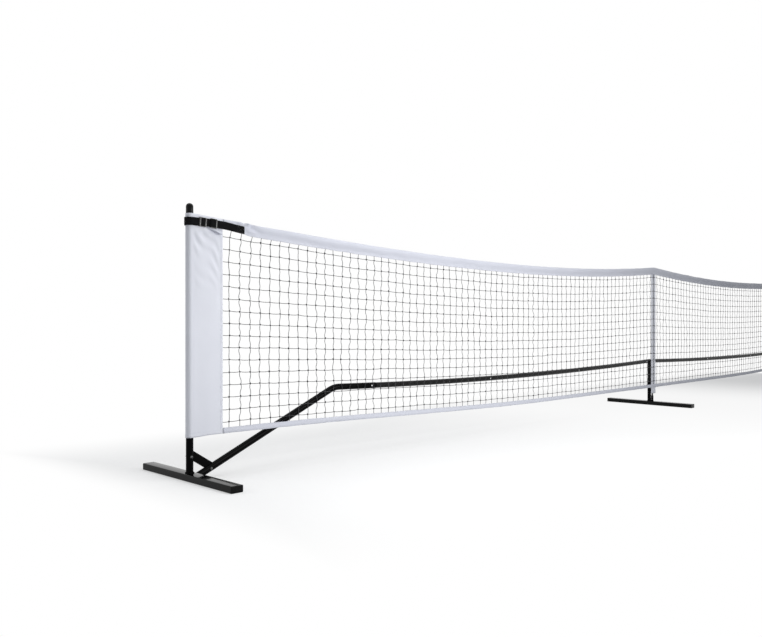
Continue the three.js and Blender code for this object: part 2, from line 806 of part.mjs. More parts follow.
// a flat buckle that the strap runs through, with two slots in its front
function strapSlider() {
  const halfLength = sliderLength / 2;
  const channel = sliderChannel;
  const front = -channel - sliderFront;
  const halfChannel = strapWidth / 2 + fitGap;
  const halfHeight = sliderHeight / 2;
  const back = channel + sliderBack;
  const slotEnd = halfLength - sliderBar;
  const body = box([-halfLength, front, -halfHeight], [halfLength, back, halfHeight]);
  const strapWay = box([-sliderLength, -channel, -halfChannel], [sliderLength, channel, halfChannel]);
  const slot = box([sliderBar / 2, front - cutPast, -halfChannel], [slotEnd, 0, halfChannel]);
  return cut(body, [strapWay, slot, mirrored(slot)]);
}

// ---- assembly ----

const net = new THREE.Group();

function add(name, geometry, material, position = [0, 0, 0], tilt = 0) {
  const mesh = new THREE.Mesh(geometry, material);
  mesh.name = name;
  mesh.position.set(...position);
  mesh.rotation.y = tilt;
  net.add(mesh);
}

// a piece measured from the left post, and its mirror image at the right post
function addPair(name, geometry, material, place = [0, 0, 0], tilt = 0) {
  const [along, y, z] = place;
  add(`${name}_left`, geometry, material, [-halfSpan + along, y, z], tilt);
  add(`${name}_right`, mirrored(geometry), material, [halfSpan - along, y, z], -tilt);
}

for (const [side, x] of [['left', -halfSpan], ['centre', 0], ['right', halfSpan]]) {
  add(`foot_${side}`, foot(), powderCoat, [x, 0, 0]);
  add(`foot_cap_${side}_front`, footCap(), blackPlastic, [x, 0, 0]);
  add(`foot_cap_${side}_back`, welded(footCap().scale(1, -1, 1)), blackPlastic, [x, 0, 0]);
}

addPair('post_lower', lowerPost(), powderCoat);
addPair('post_upper', upperPost(), powderCoat);
addPair('post_cap', postCap(), blackPlastic);
addPair('strut', strut(), powderCoat);
addPair('brace', brace(), powderCoat);
for (const [carrier, [x, z]] of Object.entries(boltPlaces)) {
  addPair(`brace_bolt_${carrier}`, braceBolt(), zincSteel, [x, 0, z]);
  addPair(`brace_nut_${carrier}`, braceNut(), zincSteel, [x, 0, z]);
}
for (let piece = 0; piece < railPieces; piece += 1) {
  addPair(`rail_${piece + 1}`, rail(piece), powderCoat);
}

add('centre_tee', centreTee(), powderCoat);
add('centre_stub', centreStub(), powderCoat);
add('rod_socket', rodSocket(), powderCoat);
add('centre_rod', centreRod(), fibreglass);
add('rod_tip', rodTip(), blackRubber);

for (let piece = 0; piece <= railPieces; piece += 1) {
  const at = railPoint(seam(piece) - buttonInset);
  const lean = railDirection(at.x);
  const carrier = piece === 0 ? postRadius : railRadius;
  addPair(`snap_button_rail_${piece + 1}`, snapButton(carrier), zincSteel,
    [at.x, 0, at.z], -Math.atan2(lean.z, lean.x));
}
const postButton = snapButton(postRadius).rotateZ(Math.PI / 2).rotateX(Math.PI / 2);
addPair('snap_button_post', postButton, zincSteel, [0, 0, lowerPostTop + buttonInset]);

add('net_mesh', netMesh(), netTwine);
const topBand = band(topBandThickness, (distance) => topEdge(distance) - topBandHeight, topEdge);
add('top_band', topBand, whiteCloth);
const bottomBandTop = (distance) => bottomEdge(distance) + bottomBandHeight;
const bottomBand = band(bottomBandThickness, bottomEdge, bottomBandTop);
add('bottom_band', bottomBand, whiteCloth);
addPair('side_sleeve', sideSleeve(), whiteCloth);
add('centre_sleeve', centreSleeve(), whiteCloth);
addPair('tension_strap', tensionStrap(), blackWebbing);
for (const [name, distance] of Object.entries(sliderDistances)) {
  addPair(`strap_slider_${name}`, strapSlider(), blackPlastic,
    [distance, -strapPlane, strapHeight(distance)], -Math.atan(strapSlope));
}

export default net;
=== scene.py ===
# Portable pickleball net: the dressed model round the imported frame.
import math

import bmesh
import bpy
import numpy as np
from mathutils import Matrix, Vector, noise


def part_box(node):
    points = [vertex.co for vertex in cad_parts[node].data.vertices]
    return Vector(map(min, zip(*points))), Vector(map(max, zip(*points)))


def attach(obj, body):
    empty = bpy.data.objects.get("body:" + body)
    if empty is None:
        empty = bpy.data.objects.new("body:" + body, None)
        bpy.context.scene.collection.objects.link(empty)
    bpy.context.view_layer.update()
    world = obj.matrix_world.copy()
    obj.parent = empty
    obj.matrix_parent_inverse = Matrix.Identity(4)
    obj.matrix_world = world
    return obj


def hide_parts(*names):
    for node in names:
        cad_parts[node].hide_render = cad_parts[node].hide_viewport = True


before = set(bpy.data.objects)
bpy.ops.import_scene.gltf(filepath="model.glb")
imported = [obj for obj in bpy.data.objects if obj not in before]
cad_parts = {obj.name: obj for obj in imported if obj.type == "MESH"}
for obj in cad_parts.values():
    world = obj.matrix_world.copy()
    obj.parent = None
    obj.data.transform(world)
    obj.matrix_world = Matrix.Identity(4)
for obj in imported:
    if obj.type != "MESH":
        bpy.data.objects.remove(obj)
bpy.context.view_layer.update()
print("frame loaded")

sides = ("left", "right")
upward, rearward = Vector((0, 0, 1)), Vector((0, 1, 0))

# the court's own sizes, in metres from the nearer post
court = {
    "halfSpan": sum(corner.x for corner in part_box("foot_right")) / 2, "footHeight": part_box("foot_left")[1].z,
    "postRadius": 0.0127, "railRadius": 0.012, "tubeWall": 0.0012, "slipFit": 0.0004, "fitGap": 0.0003,
    "spigot": 0.060, "buttonInset": 0.030, "bandThickness": 0.0034, "sleeveReach": 0.123,
    "sleeveTop": 0.914, "topLow": 0.8265, "topLowAt": 2.000, "topCentre": 0.878,
    "postSag": 1.9, "centreSag": 2.0, "bottomPost": 0.149, "bottomLow": 0.113, "bottomLowAt": 2.200,
    "netAtSleeve": 0.015,
}
halfSpan, fitGap, sleeveReach = court["halfSpan"], court["fitGap"], court["sleeveReach"]
netAtCentre = -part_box("centre_sleeve")[0].y + fitGap + court["bandThickness"] / 2
netHalf = halfSpan - sleeveReach - fitGap
base = court["footHeight"] + fitGap


def plugRadius(radius):
    # what fits in a tube
    return radius - court["tubeWall"] - court["slipFit"]


def smoothStep(low, high, value):
    share = min(max((value - low) / (high - low), 0), 1)
    return share * share * (3 - 2 * share)


def topEdge(s):
    low, lowAt = court["topLow"], court["topLowAt"]
    if s < lowAt:
        return low + (court["sleeveTop"] - low) * (1 - s / lowAt) ** court["postSag"]
    return low + (court["topCentre"] - low) * ((s - lowAt) / (halfSpan - lowAt)) ** court["centreSag"]


def bottomEdge(s):
    low, turn = court["bottomLow"], math.pi * min(s / court["bottomLowAt"], 1)
    return low + (court["bottomPost"] - low) * (1 + math.cos(turn)) / 2


def netPlane(s):
    share = (s - sleeveReach) / (halfSpan - sleeveReach)
    return -court["netAtSleeve"] - (netAtCentre - court["netAtSleeve"]) * share


def rough(x, y, z):
    return noise.noise(Vector((x, y, z)))


# making meshes


def turns(count):
    # even angles once round
    return [2 * math.pi * k / count for k in range(count)]


def levelRing(radius, z, count, y=0.0):
    return [Vector((radius * math.cos(t), y + radius * math.sin(t), z)) for t in turns(count)]


def circleAt(centre, direction, radius, count=40):
    over = direction.cross(rearward).normalized()
    return [centre + rearward * (radius * math.cos(t)) + over * (radius * math.sin(t)) for t in turns(count)]


def reaches(line, steps):
    # how far along a line each of its points lies
    total = [0.0]
    for k in range(steps):
        total.append(total[-1] + (line[(k + 1) % len(line)] - line[k]).length)
    return total


def skin(rings, loopAlong=False, loopAround=True, capped=False):
    # rings of equal length, as (points, faces, corner UVs in metres)
    count, rows = len(rings[0]), len(rings)
    points = [Vector(p) for ring in rings for p in ring]
    steps, spans = rows - (not loopAlong), count - (not loopAround)
    along = reaches(points[::count], steps)
    around = reaches(points[rows // 2 * count:][:count], spans)
    faces, uvs = [], []
    for i in range(steps):
        for j in range(spans):
            here, after, turn = i * count, (i + 1) % rows * count, (j + 1) % count
            faces.append((here + j, here + turn, after + turn, after + j))
            uvs.append([(along[i + a], around[j + b]) for a, b in ((0, 0), (0, 1), (1, 1), (1, 0))])
    if capped:
        for ring in (range(count - 1, -1, -1), range((rows - 1) * count, rows * count)):
            faces.append(tuple(ring))
            uvs.append([(points[k].x, points[k].z) for k in ring])
    return points, faces, uvs


def turned(profile, count=36, hexFrom=(0, -1), loopAlong=False):
    # a round solid about Z from (radius, height) pairs, six-sided between two of them
    rings = []
    for k, (radius, height) in enumerate(profile):
        ring = levelRing(radius, height, count)
        if hexFrom[0] <= k <= hexFrom[1]:
            for spot, t in zip(ring, turns(count)):
                spot.xy /= math.cos(t % (math.pi / 3) - math.pi / 6)
        rings.append(ring)
    return skin(rings, loopAlong)


def dome(radius, height, rise, steps, kept):
    # the rounded shoulder of a turned piece
    angles = [math.pi / 2 * step / steps for step in range(1, kept + 1)]
    return [(radius * math.cos(a), height + rise * math.sin(a)) for a in angles]


def moved(part, matrix):
    points, faces, uvs = part
    return [matrix @ p for p in points], faces, uvs


def joined(*parts):
    points, faces, uvs = [], [], []
    for partPoints, partFaces, partUvs in parts:
        faces += [tuple(k + len(points) for k in face) for face in partFaces]
        points += partPoints
        uvs += partUvs
    return points, faces, uvs


def toSide(points, side):
    # points measured from the left post in their place there, or mirrored to the right post
    if side == "centre":
        return points
    flip = -1 if side == "right" else 1
    return [Vector(((p.x - halfSpan) * flip, p.y, p.z)) for p in points]


def sided(part, side):
    points, faces, uvs = part
    if side == "right":
        faces, uvs = ([tuple(reversed(corners)) for corners in rows] for rows in (faces, uvs))
    return toSide(points, side), faces, uvs


def newObject(name, mesh):
    piece = bpy.data.objects.new(name, mesh)
    bpy.context.scene.collection.objects.link(piece)
    return piece


def makePiece(name, part, side="centre", sharp=35, outward=True):
    points, faces, uvs = sided(part, side)
    mesh = bpy.data.meshes.new(name)
    mesh.from_pydata(points, [], faces)
    layer = mesh.uv_layers.new(name="UVMap")
    layer.data.foreach_set("uv", [value for face in uvs for corner in face for value in corner])
    if outward:
        tidy = bmesh.new()
        tidy.from_mesh(mesh)
        bmesh.ops.recalc_face_normals(tidy, faces=tidy.faces)
        tidy.to_mesh(mesh)
        tidy.free()
    mesh.polygons.foreach_set("use_smooth", [True] * len(mesh.polygons))
    mesh.set_sharp_from_angle(angle=math.radians(sharp))
    return newObject(name, mesh)


def settle(piece):
    # the piece with its modifiers made into its mesh
    whole = piece.evaluated_get(bpy.context.evaluated_depsgraph_get())
    mesh = bpy.data.meshes.new_from_object(whole)
    piece.modifiers.clear()
    piece.data = mesh
    return piece


def thicken(piece, thickness, evenOut=False):
    step = piece.modifiers.new("wall", "SOLIDIFY")
    step.thickness, step.offset, step.use_even_offset = thickness, 0, evenOut
    return settle(piece)


def booleanWith(piece, parts, side="centre", operation="DIFFERENCE"):
    # piece cut by, or joined with, closed parts
    tools = [makePiece("tool", part, side) for part in parts]
    for tool in tools:
        step = piece.modifiers.new("tool", "BOOLEAN")
        step.object, step.operation, step.solver = tool, operation, "EXACT"
    settle(piece)
    for tool in tools:
        bpy.data.objects.remove(tool)
    piece.data.set_sharp_from_angle(angle=math.radians(35))
    return piece


def dress(piece, finish, *nodes, body="frame"):
    # material, body, and the CAD nodes that the piece stands for, which it hides
    material, slot = finishes[finish]
    piece.data.materials.clear()
    piece.data.materials.append(material)
    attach(piece, body)
    if nodes:
        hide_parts(*nodes)
    return piece


def add(name, part, side, finish, *nodes, body="frame", sharp=35, cuts=()):
    piece = makePiece(name, part, side, sharp)
    if cuts:
        booleanWith(piece, cuts, side)
    return dress(piece, finish, *nodes, body=body)


def hollowTube(at, profile, count=40):
    # a tube with wall from (distance, outer radius, inner radius) stations along at(distance)
    outer = [circleAt(*at(d), radius, count) for d, radius, _ in profile]
    inner = [circleAt(*at(d), radius, count) for d, _, radius in reversed(profile)]
    return skin(outer + inner, loopAlong=True)


def even(radius, inner, *distances):
    # stations of one cross-section
    return [(distance, radius, inner) for distance in distances]


def beadAlong(path, radius, ripples, floor, count=8, ripple=0.14):
    # a rippled weld bead along closed points
    rings, total = [], len(path)
    for k, point in enumerate(path):
        run = (path[(k + 1) % total] - path[k - 1]).normalized()
        aside = run.cross(upward)
        aside = (aside if aside.length > 0.1 else run.cross(rearward)).normalized()
        over = aside.cross(run).normalized()
        size = radius * (1 + ripple * math.sin(2 * math.pi * ripples * k / total))
        ring = [point + aside * (size * math.cos(t)) + over * (size * math.sin(t)) for t in turns(count)]
        for spot in ring:
            spot.z = max(spot.z, floor)
        rings.append(ring)
    return skin(rings, loopAlong=True)


def footWeld(radius, bead, ripples, off=0.0006, lift=0.0012, count=96, y=0.0):
    # the bead round an upright tube on a foot
    return beadAlong(levelRing(radius + off, base + lift, count, y), bead, ripples, base)


def boxPart(low, high):
    x, y, z = zip(low, high)
    points = [Vector((x[i], y[j], z[k])) for i in (0, 1) for j in (0, 1) for k in (0, 1)]
    faces = [(0, 1, 3, 2), (4, 6, 7, 5), (0, 4, 5, 1), (2, 3, 7, 6), (0, 2, 6, 4), (1, 5, 7, 3)]
    return points, faces, [((0, 0),) * 4 for _ in faces]


def rodPart(start, end, radius, count=28):
    start, end = Vector(start), Vector(end)
    turn = upward.rotation_difference(end - start).to_matrix()
    ring = levelRing(radius, 0, count)
    return skin([[place + turn @ p for p in ring] for place in (start, end)], capped=True)


# materials


def setSocket(tree, socket, value):
    # linked to another socket, or set to a plain value
    if isinstance(value, bpy.types.NodeSocket):
        tree.links.new(value, socket)
    elif value is not None:
        socket.default_value = value


def feed(tree, node, **values):
    for name, value in values.items():
        setSocket(tree, node.inputs[name.replace("_", " ")], value)
    return node


def addNode(tree, kind, **values):
    # a node: lower-case names are its own settings, the others its inputs
    node = tree.nodes.new(kind)
    for name, value in values.items():
        if name[0].islower():
            setattr(node, name, value)
    return feed(tree, node, **{name: value for name, value in values.items() if not name[0].islower()})


def newMaterial(name, colour, roughness, **plain):
    # a Principled material whose even values sit on its own sockets
    material = bpy.data.materials.new(name)
    material.use_nodes = True
    tree = material.node_tree
    shader = feed(tree, tree.nodes["Principled BSDF"], Base_Color=(*colour, 1), Roughness=roughness, **plain)
    return material, tree, shader


def mathNode(tree, operation, *values, kind="ShaderNodeMath", **named):
    # a node of one operation, its first inputs linked or set in their order
    node = addNode(tree, kind, operation=operation)
    for socket, value in zip(node.inputs, values):
        setSocket(tree, socket, value)
    return feed(tree, node, **named).outputs[0]


def vectorNode(tree, operation, *values, **named):
    return mathNode(tree, operation, *values, kind="ShaderNodeVectorMath", **named)


def separate(tree, vector):
    return addNode(tree, "ShaderNodeSeparateXYZ", Vector=vector).outputs


def noiseNode(tree, vector, scale, detail):
    return addNode(tree, "ShaderNodeTexNoise", Vector=vector, Scale=scale, Detail=detail).outputs["Fac"]


def newTree(kind, name, inputs, outputs):
    # a group: its inputs are (name, kind, default) and its outputs (name, kind)
    tree = bpy.data.node_groups.new(name, kind)
    for title, socketKind, default in inputs:
        socket = tree.interface.new_socket(name=title, in_out="INPUT", socket_type="NodeSocket" + socketKind)
        if default is not None:
            socket.default_value = default
    for title, socketKind in outputs:
        tree.interface.new_socket(name=title, in_out="OUTPUT", socket_type="NodeSocket" + socketKind)
    return tree, tree.nodes.new("NodeGroupInput").outputs, tree.nodes.new("NodeGroupOutput")


def grainGroup():
    # fine lumps and a slow drift of tone, in metres on Object coordinates
    group, given, out = newTree(
        "ShaderNodeTree", "surfaceGrain",
        [("Vector", "Vector", None), ("Grain Size", "Float", 0.001), ("Drift Size", "Float", 0.05),
         ("Stretch", "Vector", (1, 1, 1))], [("Height", "Float"), ("Drift", "Float")])
    scaled = vectorNode(group, "MULTIPLY", given["Vector"], given["Stretch"])
    fine, slow = (noiseNode(group, scaled, mathNode(group, "DIVIDE", 1, given[size]), detail)
                  for size, detail in (("Grain Size", 3), ("Drift Size", 2)))
    feed(group, out, Height=fine, Drift=slow)
    return group


def weaveGroup():
    # plain weave on a UV map in metres
    group, given, out = newTree(
        "ShaderNodeTree", "plainWeave",
        [("UV", "Vector", None), ("Thread", "Float", 0.0005), ("Slub", "Float", 0.3)],
        [("Height", "Float"), ("Tone", "Float")])
    rate = mathNode(group, "DIVIDE", math.pi, given["Thread"])
    warp, weft = (mathNode(group, "SINE", mathNode(group, "MULTIPLY", way, rate))
                  for way in separate(group, given["UV"])[:2])
    slub = noiseNode(group, given["UV"], 160, 3)
    uneven = mathNode(group, "MULTIPLY", slub, given["Slub"])
    crossing = mathNode(group, "MULTIPLY", warp, weft)
    feed(group, out, Height=mathNode(group, "MULTIPLY_ADD", crossing, 0.5, uneven), Tone=slub)
    return group


def webGroup():
    # webbing: ribs along the strap, crossed by a fine chevron
    group, given, out = newTree(
        "ShaderNodeTree", "webbingRibs",
        [("UV", "Vector", None), ("Rib", "Float", 0.0016), ("Pick", "Float", 0.0011)], [("Height", "Float")])
    along, over = separate(group, given["UV"])[:2]
    across = mathNode(group, "DIVIDE", over, given["Rib"])
    slope = mathNode(group, "PINGPONG", across, 1.0)
    picks = mathNode(group, "ADD", mathNode(group, "DIVIDE", along, given["Pick"]), slope)
    rib = mathNode(group, "ABSOLUTE", mathNode(group, "SINE", mathNode(group, "MULTIPLY", across, math.pi)))
    pick = mathNode(group, "SINE", mathNode(group, "MULTIPLY", picks, 2 * math.pi))
    feed(group, out, Height=mathNode(group, "MULTIPLY_ADD", pick, 0.35, rib))
    return group


def dustGroup():
    # a patchy mask that fades out above the floor
    group, given, out = newTree(
        "ShaderNodeTree", "floorDust",
        [("Vector", "Vector", None), ("Reach", "Float", 0.12), ("Amount", "Float", 0.5)], [("Mask", "Float")])
    height = separate(group, given["Vector"])[2]
    fade = mathNode(group, "SUBTRACT", 1, mathNode(group, "DIVIDE", height, given["Reach"]))
    patch = noiseNode(group, given["Vector"], 38, 5)
    shaped = mathNode(group, "MULTIPLY", mathNode(group, "MAXIMUM", fade, 0), patch)
    feed(group, out, Mask=mathNode(group, "MULTIPLY", shaped, given["Amount"]))
    return group


grain, weave, webRibs, dust = grainGroup(), weaveGroup(), webGroup(), dustGroup()


def useGroup(tree, group, coordinates, **values):
    # the group placed in a material, on Object or UV coordinates
    node = addNode(tree, "ShaderNodeGroup", node_tree=group)
    tree.links.new(addNode(tree, "ShaderNodeTexCoord").outputs[coordinates], node.inputs[0])
    return feed(tree, node, **values).outputs


def addBump(tree, shader, height, strength, depth, before=None):
    bump = addNode(tree, "ShaderNodeBump", Strength=strength, Distance=depth, Height=height, Normal=before)
    feed(tree, shader, Normal=bump.outputs[0])
    return bump.outputs[0]


def spread(tree, value, low, high):
    # a noise's value as one from low to high
    return addNode(tree, "ShaderNodeMapRange", From_Min=0.3, From_Max=0.7, To_Min=low, To_Max=high,
                   Value=value).outputs[0]


def mixColour(tree, share, first, second):
    node = addNode(tree, "ShaderNodeMix", data_type="RGBA", Factor=share)
    node.inputs[6].default_value, node.inputs[7].default_value = (*first, 1), (*second, 1)
    return node.outputs[2]


def powderCoat(name, gloss, dusty, dullest, colour=(0.0018, 0.0018, 0.0021), dirt=(0.10, 0.096, 0.09)):
    # black paint with a fine orange peel; gloss is its mirror strength seen straight on
    material, tree, shader = newMaterial(name, colour, 0.3, Specular_IOR_Level=gloss)
    skinGrain = useGroup(tree, grain, "Object", Grain_Size=0.0011, Drift_Size=0.06)
    feed(tree, shader, Roughness=spread(tree, skinGrain["Drift"], 0.65 * dullest, dullest))
    addBump(tree, shader, skinGrain["Height"], 0.22, 0.00012)
    if dusty:
        mask = useGroup(tree, dust, "Object", Reach=0.06, Amount=dusty)["Mask"]
        feed(tree, shader, Base_Color=mixColour(tree, mask, colour, dirt))
    return material


def moulded(name, colour, roughness, grainSize, depth, gloss=0.5):
    # plastic or rubber with a fine moulded grain
    material, tree, shader = newMaterial(name, colour, roughness, Specular_IOR_Level=gloss)
    skinGrain = useGroup(tree, grain, "Object", Grain_Size=grainSize, Drift_Size=0.02)
    feed(tree, shader, Roughness=spread(tree, skinGrain["Drift"], roughness - 0.06, roughness + 0.06))
    addBump(tree, shader, skinGrain["Height"], 0.3, depth)
    return material


def zinc(name, tone, rough, colours=((0.52, 0.53, 0.55), (0.70, 0.70, 0.70))):
    # plated steel; tone scales its brightness
    pale, paler = (tuple(tone * value for value in colour) for colour in colours)
    material, tree, shader = newMaterial(name, pale, rough, Metallic=1.0)
    skinGrain = useGroup(tree, grain, "Object", Grain_Size=0.0006, Drift_Size=0.004)
    feed(tree, shader, Roughness=spread(tree, skinGrain["Drift"], 0.75 * rough, 1.3 * rough),
         Base_Color=mixColour(tree, skinGrain["Drift"], pale, paler))
    addBump(tree, shader, skinGrain["Height"], 0.15, 0.00008)
    return material


def fibreglass(name, colour):
    material, tree, shader = newMaterial(name, colour, 0.38)
    streaks = useGroup(tree, grain, "Object", Grain_Size=0.0008, Drift_Size=0.01,
                       Stretch=(1, 1, 0.04))["Height"]
    feed(tree, shader, Roughness=spread(tree, streaks, 0.3, 0.5))
    addBump(tree, shader, streaks, 0.25, 0.0001)
    return material


def cloth(name, colour, darker, thread, depth):
    # coated cloth: a weave under a soft sheen, with faint handling marks
    material, tree, shader = newMaterial(name, colour, 0.62, Sheen_Weight=0.15, Sheen_Roughness=0.5)
    threads = useGroup(tree, weave, "UV", Thread=thread)
    marks = useGroup(tree, grain, "Object", Grain_Size=0.004, Drift_Size=0.11)
    tone = mathNode(tree, "MULTIPLY_ADD", marks["Drift"], 0.6, threads["Tone"])
    feed(tree, shader, Base_Color=mixColour(tree, spread(tree, tone, 0.0, 0.35), colour, darker),
         Roughness=spread(tree, marks["Drift"], 0.55, 0.7))
    soft = addBump(tree, shader, marks["Height"], 0.25, 0.0006)
    addBump(tree, shader, threads["Height"], 0.35, depth, soft)
    return material


def webbed(name, colour, dark=(0.0015, 0.0015, 0.002), pale=(0.008, 0.008, 0.009)):
    material, tree, shader = newMaterial(name, colour, 0.72, Specular_IOR_Level=0.06)
    ribs = useGroup(tree, webRibs, "UV")["Height"]
    addBump(tree, shader, ribs, 0.8, 0.0004)
    feed(tree, shader, Base_Color=mixColour(tree, spread(tree, ribs, 0, 1), dark, pale))
    return material


def twisted(name, colour, twist=0.004, strands=3, paler=2.1):
    # twine: its strands come from the attributes that the thread tree stores
    material, tree, shader = newMaterial(name, colour, 0.7, Sheen_Weight=0.2)
    along, around = (addNode(tree, "ShaderNodeAttribute", attribute_name=key).outputs["Fac"]
                     for key in ("threadAlong", "threadAround"))
    lay = mathNode(tree, "MULTIPLY", along, 2 * math.pi / twist)
    strand = mathNode(tree, "MULTIPLY_ADD", around, strands * 2 * math.pi, lay)
    addBump(tree, shader, mathNode(tree, "SINE", strand), 0.7, 0.0003)
    fuzz = useGroup(tree, grain, "Object", Grain_Size=0.002, Drift_Size=0.15)["Drift"]
    feed(tree, shader, Base_Color=mixColour(tree, spread(tree, fuzz, 0, 1), colour,
                                            tuple(paler * value for value in colour)))
    return material


# each finish: its material and the record's slot. Plastics have a colour, roughness, grain and its depth, and
# gloss; steels a tone and roughness; cloths their two tones, the thread's width and the weave's depth
finishes = {
    "powder": (powderCoat("powderCoat", gloss=0.035, dusty=0.02, dullest=0.30), "powder_coat"),
    "foot": (powderCoat("footCoat", gloss=0.12, dusty=0, dullest=0.15), "powder_coat"),
    "rail": (powderCoat("railCoat", gloss=0.16, dusty=0, dullest=0.34), "powder_coat"),
    "plastic": (moulded("blackPlastic", (0.002, 0.002, 0.002), 0.17, 0.0007, 0.00004, 0.12), "black_plastic"),
    "buckle": (moulded("bucklePlastic", (0.006, 0.006, 0.006), 0.22, 0.0012, 0.00004, 0.85), "black_plastic"),
    "rubber": (moulded("blackRubber", (0.01, 0.01, 0.01), 0.8, 0.0008, 0.0001, 0.3), "black_rubber"),
    "zinc": (zinc("zincSteel", 1.0, 0.32), "zinc_steel"),
    "bolt": (zinc("boltSteel", 0.16, 0.42), "zinc_steel"),
    "fibreglass": (fibreglass("glassFibre", (0.016, 0.016, 0.018)), "rod_fibreglass"),
    "cloth": (cloth("whiteCloth", (0.86, 0.874, 0.94), (0.755, 0.775, 0.865), 0.00055, 0.00010), "white_cloth"),
    # the bands' cloth: the sleeves' white cloth painted about a fifth darker, as painted shade on the bands
    "band": (cloth("bandCloth", (0.684, 0.697, 0.77), (0.592, 0.612, 0.704), 0.00055, 0.00010), "white_cloth"),
    "whiteThread": (cloth("whiteThread", (0.80, 0.81, 0.87), (0.70, 0.71, 0.78), 0.0003, 0.00005),
                    "white_cloth"),
    "blackThread": (moulded("blackThread", (0.03, 0.03, 0.033), 0.6, 0.0005, 0.0001), "black_webbing"),
    "webbing": (webbed("blackWebbing", (0.004, 0.004, 0.0045)), "black_webbing"),
    "twine": (twisted("netTwine", (0.016, 0.016, 0.019)), "net_twine"),
}
print("materials made")

# Geometry Nodes: threads, knots and stitches


def growingTree(name, inputs):
    return newTree("GeometryNodeTree", name, [("Geometry", "Geometry", None)] + inputs + [
        ("Material", "Material", None)], [("Geometry", "Geometry")])


def endTree(tree, given, out, geometry):
    real = addNode(tree, "GeometryNodeRealizeInstances", Geometry=geometry)
    finish = addNode(tree, "GeometryNodeSetMaterial", Geometry=real.outputs[0], Material=given["Material"])
    feed(tree, out, Geometry=finish.outputs[0])
    return tree


def storeOn(tree, geometry, name, value):
    return addNode(tree, "GeometryNodeStoreNamedAttribute", data_type="FLOAT", domain="POINT", Name=name,
                   Geometry=geometry, Value=value).outputs[0]


def threadTree():
    # lines of the net swept as round twine
    tree, given, out = growingTree("netThreads", [
        ("Thread Radius", "Float", 0.001), ("Sides", "Int", 5), ("Loosening", "Float", 0.0003),
        ("Seed", "Float", 3.0)])
    curve = addNode(tree, "GeometryNodeMeshToCurve", Mesh=given["Geometry"]).outputs[0]
    place = addNode(tree, "GeometryNodeInputPosition").outputs[0]
    stir = addNode(tree, "ShaderNodeTexNoise", noise_dimensions="4D", Scale=90, Vector=place, W=given["Seed"])
    centred = vectorNode(tree, "SUBTRACT", stir.outputs["Color"], (0.5, 0.5, 0.5))
    nudge = vectorNode(tree, "SCALE", centred, Scale=given["Loosening"])
    shift = addNode(tree, "GeometryNodeSetPosition", Geometry=curve, Offset=nudge).outputs[0]
    ring = addNode(tree, "GeometryNodeCurvePrimitiveCircle", mode="RADIUS", Resolution=given["Sides"],
                   Radius=given["Thread Radius"]).outputs[0]
    run, turn = (addNode(tree, "GeometryNodeSplineParameter").outputs[key] for key in ("Length", "Factor"))
    sweep = addNode(tree, "GeometryNodeCurveToMesh", Curve=storeOn(tree, shift, "threadAlong", run),
                    Profile_Curve=storeOn(tree, ring, "threadAround", turn), Fill_Caps=True)
    return endTree(tree, given, out, sweep.outputs[0])


def placedTree(name, alongLines):
    # copies of one shape on points, or at even steps along lines and turned with them
    tree, given, out = growingTree(name, [
        ("Shape", "Object", None), ("Pitch", "Float", 0.004), ("Scale", "Float", 1.0),
        ("Unevenness", "Float", 0.15), ("Turn", "Float", 0.0), ("Seed", "Int", 5)])
    points = given["Geometry"]
    if alongLines:
        curve = addNode(tree, "GeometryNodeMeshToCurve", Mesh=points).outputs[0]
        points = addNode(tree, "GeometryNodeResampleCurve", mode="LENGTH", Curve=curve,
                         Length=given["Pitch"]).outputs[0]
        tangent = addNode(tree, "GeometryNodeInputTangent").outputs[0]
        swing = addNode(tree, "FunctionNodeAlignRotationToVector", axis="X", Vector=tangent)
    else:
        corners = []
        for sign in (-1, 1):
            turn = mathNode(tree, "MULTIPLY", given["Turn"], sign)
            corners.append(addNode(tree, "ShaderNodeCombineXYZ", X=turn, Y=turn, Z=turn).outputs[0])
        swing = addNode(tree, "FunctionNodeRandomValue", data_type="FLOAT_VECTOR", Min=corners[0],
                        Max=corners[1], Seed=given["Seed"])
    shape = addNode(tree, "GeometryNodeObjectInfo", Object=given["Shape"]).outputs["Geometry"]
    sizes = addNode(tree, "FunctionNodeRandomValue", data_type="FLOAT", Seed=given["Seed"])
    limits = [socket for socket in sizes.inputs if socket.type == "VALUE" and socket.enabled]
    for socket, operation in zip(limits, ("SUBTRACT", "ADD")):
        share = mathNode(tree, operation, 1, given["Unevenness"])
        tree.links.new(mathNode(tree, "MULTIPLY", share, given["Scale"]), socket)
    size = next(socket for socket in sizes.outputs if socket.enabled)
    spots = addNode(tree, "GeometryNodeInstanceOnPoints", Points=points, Instance=shape,
                    Rotation=swing.outputs[0], Scale=size)
    return endTree(tree, given, out, spots.outputs[0])


def grow(name, lines, tree, finish, *nodes, **inputs):
    # a plain mesh of points and lines, grown by a tree
    points, edges = [], []
    for line in lines:
        edges += [(k, k + 1) for k in range(len(points), len(points) + len(line) - 1)]
        points += line
    mesh = bpy.data.meshes.new(name)
    mesh.from_pydata(points, edges, [])
    piece = newObject(name, mesh)
    step = piece.modifiers.new("grow", "NODES")
    step.node_group = tree
    inputs["Material"] = finishes[finish][0]
    for item in tree.interface.items_tree:
        key = item.name.replace(" ", "_")
        if item.in_out == "INPUT" and key in inputs:
            step[item.identifier] = inputs[key]
    settle(piece)
    piece.data.polygons.foreach_set("use_smooth", [True] * len(piece.data.polygons))
    return dress(piece, finish, *nodes)


threads = threadTree()
knotsOnPoints, stitchesAlong = placedTree("netKnots", False), placedTree("stitchRow", True)

